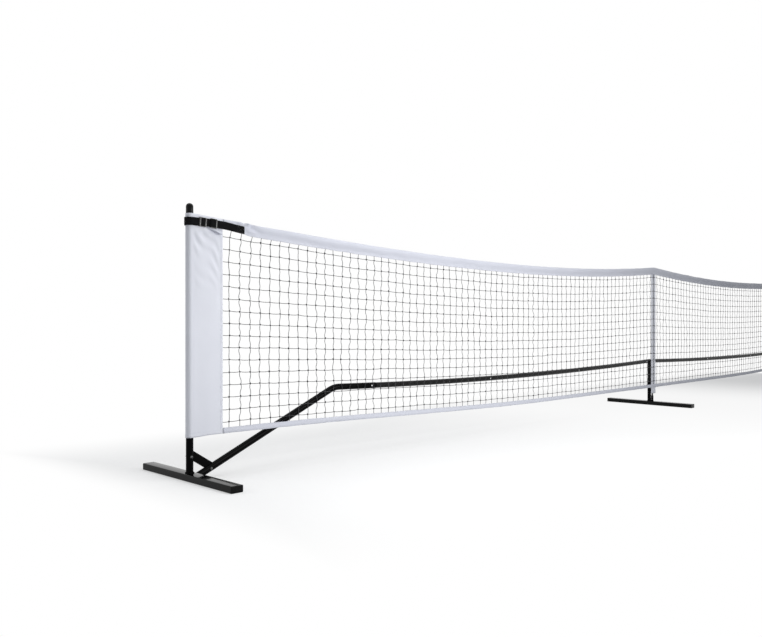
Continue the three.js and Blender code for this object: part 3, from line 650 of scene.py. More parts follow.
stitch = {"pitch": 0.0042, "length": 0.0030, "radius": 0.00034, "unevenness": 0.08, "seed": 11,
          "profile": ((0, 0.3), (0.15, 0.9), (0.5, 1.1), (0.85, 0.9), (1, 0.3))}
stitchShape = makePiece("stitchShape", skin(
    [[Vector((stitch["length"] * (x - 0.5), stitch["radius"] * share * math.cos(a),
              stitch["radius"] * share * math.sin(a))) for a in (0, 1.257, 2.513, 3.77, 5.027)]
     for x, share in stitch["profile"]], capped=True), sharp=60)


def stitchRows(name, lines, finish="whiteThread", side="centre"):
    # rows of stitches along lists of points
    return grow(name, [toSide(line, side) for line in lines], stitchesAlong, finish, Shape=stitchShape,
                Pitch=stitch["pitch"], Scale=1.0, Unevenness=stitch["unevenness"], Seed=stitch["seed"])


print("trees made")

# feet

foot = {"length": 0.568, "width": 0.046, "wall": 0.0016, "corner": 0.0032, "flange": 0.003, "plug": 0.018,
        "lip": 0.0003, "sharpest": 0.0004}
# how far the plug cap's face draws in, by the depth from its outer side
capRounding = [(0.0016, 0), (0.0008, 0.00015), (0.00025, 0.0006), (0, 0.0013)]


def roundedOutline(halfWidth, halfHeight, radius, steps=5):
    # corners as arcs, in XZ
    outline = []
    for quarter, (sx, sz) in enumerate(((1, 1), (-1, 1), (-1, -1), (1, -1))):
        for step in range(steps + 1):
            turn = math.pi / 2 * (quarter + step / steps)
            outline.append((sx * (halfWidth - radius) + radius * math.cos(turn),
                            sz * (halfHeight - radius) + radius * math.sin(turn)))
    return outline


def footRing(inset, y):
    height = court["footHeight"]
    outline = roundedOutline(foot["width"] / 2 - inset, height / 2 - inset,
                             max(foot["corner"] - inset, foot["sharpest"]))
    return [Vector((x, y, z + height / 2)) for x, z in outline]


def makeFoot(place):
    end = foot["length"] / 2 - foot["flange"] - fitGap
    lip, wall = foot["lip"], foot["wall"]
    stations = [(lip, -end), (0, -end + lip), (0, -end / 2), (0, 0), (0, end / 2), (0, end - lip), (lip, end),
                (wall, end), (wall, -end)]
    tube = skin([footRing(*station) for station in stations], loopAlong=True)
    add("foot_tube_" + place, tube, place, "foot", "foot_" + place)
    outside = -foot["length"] / 2
    back, plug = outside + foot["flange"], wall + fitGap
    stations = [(inset, outside + depth) for inset, depth in capRounding]
    stations += [(0, back), (plug, back), (plug, back + foot["plug"])]
    for endName, flip in (("front", 1), ("back", -1)):
        cap = skin([[Vector((p.x, flip * p.y, p.z)) for p in footRing(*station)] for station in stations],
                   capped=True)
        add(f"foot_end_{place}_{endName}", cap, place, "plastic", f"foot_cap_{place}_{endName}")


for place in ("left", "centre", "right"):
    makeFoot(place)
print("feet made")

# the lines of the rails and struts

rails = {
    "strutNear": 0.040, "strutNearHeight": 0.014, "bend": 0.659, "bendHeight": 0.279, "bendRadius": 0.120,
    "strutEnd": 0.888, "lowAt": 1.900, "lowHeight": 0.2585, "centreHeight": 0.2805, "count": 3,
    "teeArm": 0.025, "stubTop": 0.150, "floorGap": 0.0005, "lip": 0.00035,
}
strutSlope = (rails["bendHeight"] - rails["strutNearHeight"]) / (rails["bend"] - rails["strutNear"])
railStep = (halfSpan - rails["teeArm"] - rails["strutEnd"]) / rails["count"]
lip, wall = rails["lip"], court["tubeWall"]


def railHeight(s):
    outward = s < rails["lowAt"]
    reach = rails["lowAt"] - rails["bend"] if outward else halfSpan - rails["lowAt"]
    rise = (rails["bendHeight"] if outward else rails["centreHeight"]) - rails["lowHeight"]
    return rails["lowHeight"] + rise * ((s - rails["lowAt"]) / reach) ** 2


def onRail(s, reach=0.001):
    run = Vector((2 * reach, 0, railHeight(s + reach) - railHeight(s - reach))).normalized()
    return Vector((s, 0, railHeight(s))), run


def strutPoint(s):
    return Vector((s, 0, rails["strutNearHeight"] + strutSlope * (s - rails["strutNear"])))


# braces: a bar let into post and strut, with a bolt through each tube
brace = {"width": 0.030, "thickness": 0.004, "edge": 0.0006, "postHeight": 0.090, "strutAt": 0.087,
         "endDepth": 0.008}
bolt = {"radius": 0.003, "head": 0.010, "headHeight": 0.003, "tail": 0.0015, "nut": 0.010, "nutHeight": 0.005,
        "pitch": 0.001, "thread": 0.00025, "ridges": 7, "chamfer": 0.0005, "dome": 0.0006,
        "recess": ((0.0019, 0.00005), (0.0018, 0.0002), (0.0018, 0.0018), (0, 0.0021))}
boltPlaces = {"post": Vector((0, 0, 0.0805)), "strut": strutPoint(0.079)}


def braceOutline(play):
    start, end = Vector((0, 0, brace["postHeight"])), strutPoint(brace["strutAt"])
    run, tubeRun = (end - start).normalized(), (end - strutPoint(0)).normalized()
    aside = Vector((run.z, 0, -run.x))
    inPost, inStrut = (Vector((-1, 0, 0)), Vector((0, 0, 0))), (Vector((tubeRun.z, 0, -tubeRun.x)), end)
    outline = []
    for sign, (outward, onAxis) in ((1, inPost), (1, inStrut), (-1, inStrut), (-1, inPost)):
        point = start + aside * (sign * (brace["width"] / 2 + play))
        reach = brace["endDepth"] + play - (point - onAxis).dot(outward)
        point = point + run * (reach / run.dot(outward))
        outline.append((point.x, point.z))
    return outline


def braceBar(levels):
    # the bar's outline at each (inset, y)
    return skin([[Vector((x, y, z)) for x, z in braceOutline(-inset)] for inset, y in levels], capped=True)


def boltHole(carrier, through=0.03):
    x, _, z = boltPlaces[carrier]
    return rodPart((x, -through, z), (x, through, z), bolt["radius"] + fitGap)


def braceCutters(carrier):
    # the slot and the bolt's hole in a tube
    face = brace["thickness"] / 2 + fitGap
    return [braceBar([(-fitGap, -face), (-fitGap, face)]), boltHole(carrier)]


# snap buttons, each on a folded leaf spring
snap = {"radius": 0.0033, "hole": 0.00035, "rise": 0.0026, "dome": 0.0016, "clipWidth": 0.005,
        "clipLength": 0.030, "clipSheet": 0.0008, "clipOpening": 0.010, "clipFold": 0.0034, "clipLead": 0.002}


def buttonPart(tubeRadius):
    # a domed button on its spring, standing out along -Y
    radius, half, fold = snap["radius"], snap["clipSheet"] / 2, snap["clipFold"] / 2
    bore = plugRadius(tubeRadius) - wall
    legTop = math.sqrt(bore ** 2 - (snap["clipWidth"] / 2) ** 2) - fitGap
    head = tubeRadius + snap["rise"]
    level, shoulder = legTop - half, head - snap["dome"]
    pin = turned([(0, level), (radius, level), (radius, shoulder)]
                 + dome(radius, shoulder, snap["dome"], 7, 6) + [(0, head)], 28)
    tail = radius - snap["clipLength"]
    line = [(radius + snap["clipLead"], level), (0, level), (tail / 2, level), (tail + fold, level)]
    for step in range(1, 6):
        turn = math.pi * step / 6
        line.append((tail + fold - fold * math.sin(turn), level - fold + fold * math.cos(turn)))
    line += [(tail + fold, level - 2 * fold), (0, legTop - snap["clipOpening"] * 0.8),
             (radius, legTop - snap["clipOpening"] + half)]
    rings = []
    for k, (x, y) in enumerate(line):
        before, after = line[max(k - 1, 0)], line[min(k + 1, len(line) - 1)]
        run = Vector((after[0] - before[0], after[1] - before[1])).normalized()
        aside = Vector((-run.y, run.x)) * half
        rings.append([Vector((x + aside.x * s, -(y + aside.y * s), w * snap["clipWidth"] / 2))
                      for s, w in ((-1, -1), (1, -1), (1, 1), (-1, 1))])
    return joined(moved(pin, Matrix.Rotation(math.pi / 2, 4, "X")), skin(rings, capped=True))


def railButton(seam, reach=-0.05):
    # the hole for the button of a joint, in the tube's front
    x, _, z = onRail(seam - court["buttonInset"])[0]
    return rodPart((x, reach, z), (x, 0, z), snap["radius"] + snap["hole"])


# posts

post = {"seam": 0.300, "top": 0.917, "capHeight": 0.032, "capDome": 0.012, "stem": 0.020, "weld": 0.0026,
        "capLip": 0.0004, "lowerRings": (0.1, 0.2), "upperRings": (0.5, 0.7)}


def onPost(y=0.0):
    return lambda height: (Vector((0, y, height)), upward)


def makePosts(side):
    radius, bore, spigot = court["postRadius"], court["postRadius"] - wall, plugRadius(court["postRadius"])
    seam, tip, thin = post["seam"], post["seam"] + court["spigot"], spigot - wall
    lower = hollowTube(onPost(), even(radius, bore, base, *post["lowerRings"], seam - lip) + [
        (seam, radius - lip, thin), (seam + 0.0002, spigot, thin), (tip - 0.001, spigot, thin),
        (tip, spigot - 0.0006, thin)])
    height = seam + court["buttonInset"]
    hole = rodPart((0.004, 0, height), (0.03, 0, height), snap["radius"] + snap["hole"])
    add("post_base_" + side, lower, side, "powder", "post_lower_" + side, cuts=[hole] + braceCutters("post"))
    add("post_weld_" + side, footWeld(radius, post["weld"], 24), side, "powder")
    start, top = seam + fitGap, post["top"]
    upper = hollowTube(onPost(), [(start, radius - lip, bore)] + even(
        radius, bore, start + lip, *post["upperRings"], top - lip) + [(top, radius - lip, bore)])
    add("post_top_" + side, upper, side, "powder", "post_upper_" + side, cuts=[hole])
    capBase, stem, edge = top + fitGap, bore - fitGap, post["capLip"]
    shoulder, under = capBase + post["capHeight"] - post["capDome"], capBase - post["stem"]
    cap = turned([(0, under), (stem - 0.001, under), (stem, under + 0.001), (stem, capBase),
                  (radius - edge, capBase), (radius, capBase + edge), (radius, shoulder)]
                 + dome(radius, shoulder, post["capDome"], 9, 8) + [(0, shoulder + post["capDome"])], 40)
    add("post_end_" + side, cap, side, "plastic", "post_cap_" + side)


for side in sides:
    makePosts(side)
print("posts made")

# rails, struts and the centre frame


def strutStations(early=(0, 0.1, 0.3, 0.5, 0.7, 0.9), late=(0.76, 0.80, 0.84), steps=14):
    # centres and directions from the foot, round the bend, to the end that takes the rail
    lowTurn = math.atan(strutSlope)
    highRun = onRail(rails["bend"])[1]
    highTurn = math.atan2(highRun.z, highRun.x)
    radius = rails["bendRadius"]
    lowRun = Vector((math.cos(lowTurn), 0, math.sin(lowTurn)))
    reach = radius * math.tan((lowTurn - highTurn) / 2)
    start = Vector((rails["bend"], 0, rails["bendHeight"])) - lowRun * reach
    stations = [(strutPoint(share * start.x), lowRun) for share in early]
    for step in range(steps + 1):
        turn = lowTurn + (highTurn - lowTurn) * step / steps
        along = radius * (math.sin(lowTurn) - math.sin(turn))
        rise = radius * (math.cos(turn) - math.cos(lowTurn))
        stations.append((start + Vector((along, 0, rise)), Vector((math.cos(turn), 0, math.sin(turn)))))
    return stations + [onRail(s) for s in (*late, rails["strutEnd"] - lip, rails["strutEnd"])]


def makeStrut(side):
    radius, stations = court["postRadius"], strutStations()
    outer = [circleAt(*station, radius) for station in stations]
    outer[-1] = circleAt(*stations[-1], radius - lip)
    inner = [circleAt(*station, radius - wall) for station in reversed(stations)]
    beside = foot["width"] / 2 + fitGap
    cuts = [boxPart((-0.1, -0.1, -0.1), (0.1, 0.1, rails["floorGap"])),
            boxPart((-0.1, -0.1, -0.2), (beside, 0.1, 0.2)), railButton(rails["strutEnd"])]
    add("strut_tube_" + side, skin(outer + inner, loopAlong=True), side, "powder", "strut_" + side,
        cuts=cuts + braceCutters("strut"))
    # weld bead where the strut meets the foot
    slant, centre = radius * math.sqrt(1 + strutSlope ** 2), strutPoint(beside).z
    path = [Vector((beside + 0.0004, radius * math.cos(t), max(centre + slant * math.sin(t), 0.0025)))
            for t in turns(80)]
    add("strut_weld_" + side, beadAlong(path, 0.0019, 20, rails["floorGap"]), side, "powder")


def makeRail(piece, side):
    radius = court["railRadius"]
    bore, spigot = radius - wall, plugRadius(radius if piece else court["postRadius"])
    thin, start = spigot - wall, rails["strutEnd"] + railStep * piece
    end, shoulder, tip = start + railStep, start + fitGap, start - court["spigot"]
    profile = [(tip, spigot - 0.0005, thin)] + even(spigot, thin, tip + 0.001, start - 0.02, shoulder - 0.0001)
    profile += [(shoulder, radius - lip, thin), (shoulder + lip, radius, thin)]
    rings = [shoulder + (end - shoulder) * step / 13 for step in range(1, 13)]
    profile += even(radius, bore, shoulder + 0.0025, *rings, end - lip) + [(end, radius - lip, bore)]
    add(f"rail_tube_{piece + 1}_{side}", hollowTube(onRail, profile), side, "rail", f"rail_{piece + 1}_{side}",
        cuts=[railButton(seam) for seam in (start, end)])


for side in sides:
    makeStrut(side)
    for piece in range(rails["count"]):
        makeRail(piece, side)
print("rails made")

centreParts = {"teeWeld": 0.0014, "weldOut": 1.03, "stubWeld": 0.0022, "spigotChamfer": 0.0005}


def makeCentre():
    radius, stub = court["railRadius"], plugRadius(court["postRadius"])
    spigot, plug, chamfer = plugRadius(radius), plugRadius(stub), centreParts["spigotChamfer"]
    shoulder, tip = rails["teeArm"] - fitGap, rails["teeArm"] + court["spigot"]

    def armAt(x):
        centre, run = onRail(halfSpan - abs(x))
        return Vector((x, 0, centre.z)), (run if x < 0 else Vector((run.x, 0, -run.z)))

    arm = [(tip, spigot - chamfer), (tip - 0.001, spigot), (shoulder + 0.0001, spigot),
           (shoulder, radius - lip), (shoulder - lip, radius), (0.012, radius), (0.004, radius)]
    stations = [(-x, r) for x, r in arm] + [(0.0, radius)] + [(x, r) for x, r in reversed(arm)]
    tee = makePiece("tee_tube", skin([circleAt(*armAt(x), r) for x, r in stations], capped=True))
    armBore = skin([circleAt(*armAt(x), spigot - wall) for x in (-tip - 0.002, 0.0, tip + 0.002)], capped=True)
    legTop, top = rails["centreHeight"], rails["stubTop"]
    legBase, legTip = top + fitGap, top - court["spigot"]
    leg = skin([circleAt(Vector((0, 0, z)), upward, r) for z, r in (
        (legTip, plug - chamfer), (legTip + 0.001, plug), (legBase - 0.0001, plug), (legBase, stub - lip),
        (legBase + lip, stub), (0.2, stub), (0.25, stub), (legTop, stub))], capped=True)
    legBore = rodPart((0, 0, legTip - 0.002), (0, 0, legTop), plug - wall)
    hole = moved(railButton(halfSpan - rails["teeArm"]), Matrix.Translation((-halfSpan, 0, 0)))
    booleanWith(tee, [leg], operation="UNION")
    booleanWith(tee, [armBore, legBore, hole, moved(hole, Matrix.Scale(-1, 4, (1, 0, 0)))])
    dress(tee, "rail", "centre_tee")
    out = centreParts["weldOut"]
    saddle = [Vector((spot.x * out, spot.y * out, legTop - math.sqrt(radius ** 2 - spot.y ** 2) * out))
              for spot in levelRing(stub, 0, 96)]
    add("tee_weld", beadAlong(saddle, centreParts["teeWeld"], 26, 0), "centre", "powder")
    bore = stub - wall
    tube = hollowTube(onPost(), even(stub, bore, base, 0.09, top - lip) + [(top, stub - lip, bore)])
    add("stub_tube", tube, "centre", "powder", "centre_stub")
    add("stub_weld", footWeld(stub, centreParts["stubWeld"], 22), "centre", "powder")


rodAxis = (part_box("centre_rod")[0].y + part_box("centre_rod")[1].y) / 2
rod = {"radius": 0.005, "play": 0.00035, "socketWall": 0.0018, "socketTop": 0.060, "bottom": 0.0246,
       "edge": 0.0004, "weld": 0.0016, "tipRadius": 0.0061, "tipWall": 0.0008, "tipDome": 0.004}


def makeRod():
    radius, edge, bottom, top = rod["radius"], rod["edge"], rod["bottom"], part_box("centre_rod")[1].z
    shift = Matrix.Translation((0, rodAxis, 0))
    bar = turned([(0, bottom), (radius - edge, bottom), (radius, bottom + edge), (radius, 0.3), (radius, 0.6),
                  (radius, top - edge), (radius - edge, top), (0, top)], 32)
    add("rod_bar", moved(bar, shift), "centre", "fibreglass", "centre_rod")
    inside, socketTop = radius + rod["play"], rod["socketTop"]
    outside = inside + rod["socketWall"]
    socket = hollowTube(onPost(rodAxis), even(outside, inside, base, 0.04, socketTop - 0.0005) + [
        (socketTop, outside - 0.0005, inside + 0.0003)], 32)
    add("rod_cup", socket, "centre", "powder", "rod_socket")
    add("rod_cup_weld", footWeld(outside, rod["weld"], 16, 0.0004, 0.0009, 64, rodAxis), "centre", "powder")
    low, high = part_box("rod_tip")
    wide, inner, roof = rod["tipRadius"], rod["tipRadius"] - rod["tipWall"], top + fitGap
    shoulder = high.z - rod["tipDome"]
    tip = turned([(0, roof), (inner, roof), (inner, low.z), (wide - 0.0002, low.z), (wide, low.z + 0.0002),
                  (wide, shoulder)] + dome(wide, shoulder, rod["tipDome"], 7, 6) + [(0, high.z)], 32)
    add("rod_end", moved(tip, shift), "centre", "rubber", "rod_tip")


makeCentre()
makeRod()
print("centre made")

# braces and their bolts


def boltAndNut():
    radius, chamfer, seat = bolt["radius"], bolt["chamfer"], court["postRadius"] + fitGap
    tail = -(seat + bolt["nutHeight"] + bolt["tail"])
    wide, high, deep = bolt["head"] / 2, seat + bolt["headHeight"], bolt["nutHeight"]
    profile = [(0, tail), (radius - chamfer, tail), (radius, tail + chamfer)]
    for ridge in range(bolt["ridges"]):
        profile += [(radius - bolt["thread"], tail + chamfer + bolt["pitch"] * (ridge + 0.5)),
                    (radius, tail + chamfer + bolt["pitch"] * (ridge + 1))]
    profile += [(radius, seat), (wide - 0.0003, seat), (wide, seat + 0.0004)]
    profile += dome(wide, seat + bolt["dome"], bolt["headHeight"] - bolt["dome"], 9, 7)
    # the six-sided recess in the head
    first = len(profile)
    profile += [(size, high - depth) for size, depth in bolt["recess"]]
    flat, hole, lead = bolt["nut"] / 2, radius + fitGap - 0.0001, 0.0004
    nut = turned([(hole + lead, 0), (flat * 0.94, 0), (flat, chamfer), (flat, deep - chamfer),
                  (flat * 0.94, deep), (hole + lead, deep), (hole, deep - lead), (hole, lead)], 36, (2, 3), True)
    quarter = [Matrix.Rotation(sign * math.pi / 2, 4, "X") for sign in (1, -1)]
    return (moved(turned(profile, 36, (first, first + 2)), quarter[0]),
            moved(nut, Matrix.Translation((0, seat, 0)) @ quarter[1]))


def makeBrace(side):
    edge, face = brace["edge"], brace["thickness"] / 2
    bevel = [(edge, 0), (edge * 0.3, edge * 0.3), (0, edge)]
    levels = [(inset, -face + depth) for inset, depth in bevel]
    levels += [(inset, face - depth) for inset, depth in reversed(bevel)]
    add("brace_bar_" + side, braceBar(levels), side, "powder", "brace_" + side,
        cuts=[boltHole(carrier) for carrier in boltPlaces])
    for carrier, centre in boltPlaces.items():
        for name, part in zip(("bolt", "nut"), boltAndNut()):
            add(f"{name}_{carrier}_{side}", moved(part, Matrix.Translation(centre)), side, "bolt",
                f"brace_{name}_{carrier}_{side}", sharp=28)


for side in sides:
    makeBrace(side)
print("braces made")


def makeButtons(side):
    places = []
    for piece in range(rails["count"] + 1):
        centre, run = onRail(rails["strutEnd"] + railStep * piece - court["buttonInset"])
        lean = Matrix.Translation(centre) @ Matrix.Rotation(-math.atan2(run.z, run.x), 4, "Y")
        radius = court["railRadius" if piece else "postRadius"]
        places.append((str(piece + 1), f"rail_{piece + 1}", radius, lean))
    stand = (Matrix.Translation((0, 0, post["seam"] + court["buttonInset"]))
             @ Matrix.Rotation(math.pi / 2, 4, "X") @ Matrix.Rotation(math.pi / 2, 4, "Z"))
    places.append(("post", "post", court["postRadius"], stand))
    for name, carrier, radius, place in places:
        node = f"snap_button_{carrier}_{side}"
        add(f"button_{name}_{side}", moved(buttonPart(radius), place), side, "zinc", node, body=node)


for side in sides:
    makeButtons(side)
print("buttons made")

# net

net = {
    "columnPitch": 0.04445, "rows": 16, "lowCell": 0.48, "highCell": 0.40, "firstCell": 0.62,
    "verticalRadius": 0.0011, "horizontalRadius": 0.00108, "wave": 0.0029, "wander": 0.0036, "sag": 0.0012,
    "topBand": 0.044, "bottomBand": 0.020, "tuck": 0.008, "endTuck": 0.006, "lean": 0.009,
    "knotSize": 0.0026, "knotSteps": 14, "seed": 8,
}
netCells = net["rows"] - 1 + net["lowCell"] + net["highCell"]
# where the top band gathers up behind the tension strap
gather = {"from": 0.160, "to": 0.240, "lift": 0.021}


def bandLift(s):
    return gather["lift"] * (1 - smoothStep(gather["from"], gather["to"], s))


def netLevel(s, row):
    # the height of a lengthwise twine
    low, high = bottomEdge(s) + net["bottomBand"], topEdge(s) - net["topBand"]
    return low + (high - low) * ((net["lowCell"] + row) / netCells)


def placeKnots(chance, columns):
    # every crossing, a little off its even place
    edge = netHalf - net["columnPitch"] * net["firstCell"]
    wander = chance.normal(0, 1, (columns, net["rows"], 3))
    knots = {}
    for i in range(columns):
        x = -edge + 2 * edge * i / (columns - 1)
        s = halfSpan - abs(x)
        for j in range(net["rows"]):
            point = Vector((x, netPlane(s), netLevel(s, j)))
            slow = noise.noise_vector(point * 5.5) * net["wander"] * 1.3
            near = Vector(wander[i, j]) * net["wander"] * 0.36
            knots[i, j] = point + Vector((slow.x + near.x, 0.4 * near.y, 0.5 * slow.z + 0.5 * near.z))
    return edge, knots


def uprightTwine(knots, i, x, drift):
    # the twine at x, through the knots of its column
    rows, s = net["rows"], halfSpan - abs(x)
    footEnd = Vector((knots[i, 0].x, netPlane(s), bottomEdge(s) + net["bottomBand"] - net["tuck"]))
    # near a post the band's gather draws the twine's head away from it
    lean = math.copysign(net["lean"], -x) * (1 - smoothStep(0.15, 0.7, s))
    head = Vector((knots[i, rows - 1].x + lean + 0.002 * drift[0], netPlane(s),
                   topEdge(s) - net["topBand"] + net["tuck"] + bandLift(s)))
    stops = [footEnd] + [knots[i, j] for j in range(rows)] + [head]
    line = []
    for j in range(rows + 1):
        # each length of twine leaves its knot to one side and comes back from the other
        swing = net["wave"] * (1 if (i + j) % 2 else -1) * (0.75 + 0.25 * drift[1])
        for share in (step / 6 for step in range(6)):
            point = stops[j].lerp(stops[j + 1], share)
            point.x += swing * math.sin(2 * math.pi * share) * (0 < j < rows)
            line.append(point)
    return line + [head]


def lengthwiseTwine(knots, j, edge, columns):
    ends = []
    for i, reach in ((0, -1), (columns - 1, 1)):
        rise = netLevel(halfSpan - netHalf, j) - netLevel(halfSpan - edge, j)
        ends.append(Vector((reach * (netHalf + net["endTuck"]), netPlane(sleeveReach), knots[i, j].z + rise)))
    stops = [ends[0]] + [knots[i, j] for i in range(columns)] + [ends[1]]
    line = []
    for k in range(columns + 1):
        for share in (step / 3 for step in range(3)):
            point = stops[k].lerp(stops[k + 1], share)
            point.z -= net["sag"] * math.sin(math.pi * share)
            line.append(point)
    return line + [ends[1]]


def knotPart():
    # an overhand loop of twine round a crossing
    size, steps = net["knotSize"], net["knotSteps"]
    loop = []
    for t in turns(steps):
        wide = size * (0.62 + 0.34 * math.cos(3 * t))
        loop.append(Vector((wide * math.cos(2 * t), 0.55 * size * math.sin(3 * t),
                            wide * 1.25 * math.sin(2 * t))))
    rings = []
    for k, point in enumerate(loop):
        run = (loop[(k + 1) % steps] - loop[k - 1]).normalized()
        aside = run.cross(Vector((0, 1, 0.2))).normalized()
        over = aside.cross(run)
        rings.append([point + (aside * math.cos(t) + over * math.sin(t)) * size * 0.42 for t in turns(4)])
    return skin(rings, loopAlong=True)


def makeNet():
    chance = np.random.default_rng(net["seed"])
    noise.seed_set(net["seed"])
    columns = int(2 * netHalf / net["columnPitch"])
    edge, knots = placeKnots(chance, columns)
    drift = chance.normal(0, 1, (columns, 2))
    lines = {
        "vertical": [uprightTwine(knots, i, -edge + 2 * edge * i / (columns - 1), drift[i])
                     for i in range(columns)],
        "horizontal": [lengthwiseTwine(knots, j, edge, columns) for j in range(net["rows"])],
    }
    for kind, runs in lines.items():
        grow("net_" + kind, runs, threads, "twine", "net_mesh", Thread_Radius=net[kind + "Radius"], Sides=5,
             Loosening=0.0004, Seed=2.5)
    shape = makePiece("knotShape", knotPart(), sharp=80)
    for side, chosen in (("left", range(columns // 2)), ("right", range(columns // 2, columns))):
        grow("net_knots_" + side, [[knots[i, j]] for i in chosen for j in range(net["rows"])], knotsOnPoints,
             "twine", "net_mesh", Shape=shape, Scale=1.0, Unevenness=0.18, Turn=0.35, Seed=4)
    bpy.data.objects.remove(shape)


makeNet()
print("net made")

# the tension straps' line

strap = {"width": 0.028, "thickness": 0.0018, "plane": 0.0196, "postHeight": 0.890, "endHeight": 0.874,
         "end": 0.213, "ramp": 0.168, "backRun": 0.062, "play": 0.0006, "slack": 0.0028,
         "droop": 0.0037, "rise": 0.0044, "riseOver": (0, 0.075), "fall": 0.0042, "fallOver": (0.12, 0.215),
         "cadSleeve": 0.0143, "proud": 0.0001}
strapSlope = (strap["endHeight"] - strap["postHeight"]) / strap["end"]
# half the height that the strap's buckles hold flat, how soon the cloth is free above and beyond it, and
# the half thickness it is pressed to
press = {"half": 0.0165, "fade": 0.0035, "end": 0.211, "beyond": 0.226, "flat": 0.0011}


def strapHeight(s):
    # level from the post to the buckles, then falling to the sewn end
    bend = -strap["droop"] + strap["rise"] * smoothStep(*strap["riseOver"], s)
    bend -= strap["fall"] * smoothStep(*strap["fallOver"], s)
    return strap["postHeight"] + strapSlope * max(s, 0) + bend


def strapPress(s, z):
    # 1 where the strap and its buckles hold the band flat, 0 clear of them
    away = abs(z - strapHeight(s)) - press["half"]
    return (1 - smoothStep(press["end"], press["beyond"], s)) * (1 - smoothStep(0, press["fade"], away))


# bands

band = {"step": 0.008, "cloth": 0.0008, "sewn": 0.0085, "seamWidth": 0.006, "rollSteps": 8,
        "rollGrows": (0.226, 0.30), "rollEases": (0.6, 1.3), "hemFree": (0.006, 0.022),
        "rows": (0.12, 0.25, 0.4, 0.55, 0.7, 0.8, 0.9, 0.96, 1.0)}
# each wave of the cloth: how many a metre, and where in the noise it starts
waves = {"sway": (2.1, 3.7), "bow": (5.5, 9.1), "smallBow": (8.5, 1.3), "topEdge": (9, 5.0),
         "lowEdge": (13, 2.0), "crease": (16, 7.0)}
# pulls that spread from the sewn end of a strap
pulls = {"near": (0.004, 0.030), "reach": 0.075, "rays": 4.5, "twist": 9, "turn": 0.8, "beyond": 0.02}


def foldedBand(name, low, high, shape, node, lines, extra=()):
    # cloth folded over an edge of the net and sewn through; low(s) and high(s) are its edges
    steps = int(2 * netHalf / band["step"])
    rings = []
    rows = {(face, inset): [] for face in (-1, 1) for inset in lines}

    def ripple(wave, x, z=0.0, lift=0.0):
        rate, start = waves[wave]
        return rough(x * rate + z * 9 * lift, z * 22 * lift + start, shape["seed"])

    def halfAt(drop, tall):
        # half thickness at a distance from the fold: a soft roll that narrows to the sewn edge
        roll, half, height = shape["roll"], shape["half"], shape["rollHeight"]
        roll += shape["rollMore"] * smoothStep(*band["rollGrows"], s) * (1 - smoothStep(*band["rollEases"], s))
        if drop < height:
            return half * 0.5 + (roll - half * 0.5) * math.sqrt(max(1 - (1 - drop / height) ** 2, 0))
        return roll + (half - roll) * smoothStep(0, 0.78, (drop - height) / max(tall - height, 1e-6))

    def pullAt(z):
        x0, z0 = shape["pullAt"]
        reach, turn = math.hypot(s - x0, z - z0), math.atan2(z - z0, s - x0)
        pull = shape["pull"] * (1 + smoothStep(x0, x0 + pulls["beyond"], s))
        return pull * smoothStep(*pulls["near"], reach) * math.exp(-reach / pulls["reach"]) * math.sin(
            pulls["rays"] * turn + pulls["twist"] * reach + pulls["turn"])

    def creaseAt(z, crease):
        # one crease runs down from beside the strap's end
        begin, end = Vector(crease["from"]), Vector(crease["to"])
        run, gone = (end - begin).normalized(), Vector((s, z)) - begin
        along = gone.dot(run) / (end - begin).length
        aside = (gone.x * run.y - gone.y * run.x) / crease["width"]
        return crease["depth"] * math.exp(-aside ** 2) * smoothStep(-0.1, 0.15, along) * (
            1 - smoothStep(0.8, 1.2, along))

    for k in range(steps + 1):
        x = -netHalf + 2 * netHalf * k / steps
        s = halfSpan - abs(x)
        y, bottom, top = netPlane(s), low(s), high(s)
        wave = shape["depth"] * ripple("sway", x)
        bow = shape["twist"] * (ripple("bow", x) + 0.4 * ripple("smallBow", x))
        top += shape["edge"] * ripple("topEdge", x)
        bottom += shape["edge"] * ripple("lowEdge", x)
        fold, hem, down = (top, bottom, -1) if shape["foldAtTop"] else (bottom, top, 1)
        length = abs(fold - hem)

        def offsetAt(z, face):
            level = (z - bottom) / max(top - bottom, 1e-6)
            out = wave + bow * (level - 0.5) * 2 + shape["crease"] * ripple("crease", x, z, 1.0) + pullAt(z)
            if "fold" in shape:
                out += creaseAt(z, shape["fold"])
            # the hem stays by the twine that it is sewn to
            out *= smoothStep(*band["hemFree"], abs(z - hem))
            seam = (length - abs(fold - z) - band["sewn"]) / band["seamWidth"]
            pucker = shape["pucker"] * rough(x * 55, z * 20, face * 4 + shape["seed"])
            return out + pucker * math.exp(-seam ** 2)

        def onFace(z, face, proud=0.0):
            free = 1 - strapPress(s, z) if shape["foldAtTop"] else 1
            half = halfAt(abs(fold - z), length)
            if face < 0:
                half = press["flat"] + (half - press["flat"]) * free
            return Vector((x, y + offsetAt(z, face) * free + face * (half + proud), z))

        drops = [shape["rollHeight"] * (1 - math.cos(math.pi / 2 * n / band["rollSteps"]))
                 for n in range(band["rollSteps"] + 1)]
        drops += [drops[-1] + (length - drops[-1]) * share for share in band["rows"]]
        front, back = ([onFace(fold + down * drop, face) for drop in drops] for face in (-1, 1))
        rings.append(front[::-1] + back)
        for (face, inset), row in rows.items():
            row.append(onFace(hem - down * inset, face, band["cloth"] * 0.55))
    piece = makePiece(name, joined(skin(rings, loopAround=False), *extra), sharp=70, outward=False)
    thicken(piece, band["cloth"], True)
    # both bands take the white cloth painted darker, as painted shade
    dress(piece, "band", node)
    return piece, stitchRows(name + "_stitches", rows.values())


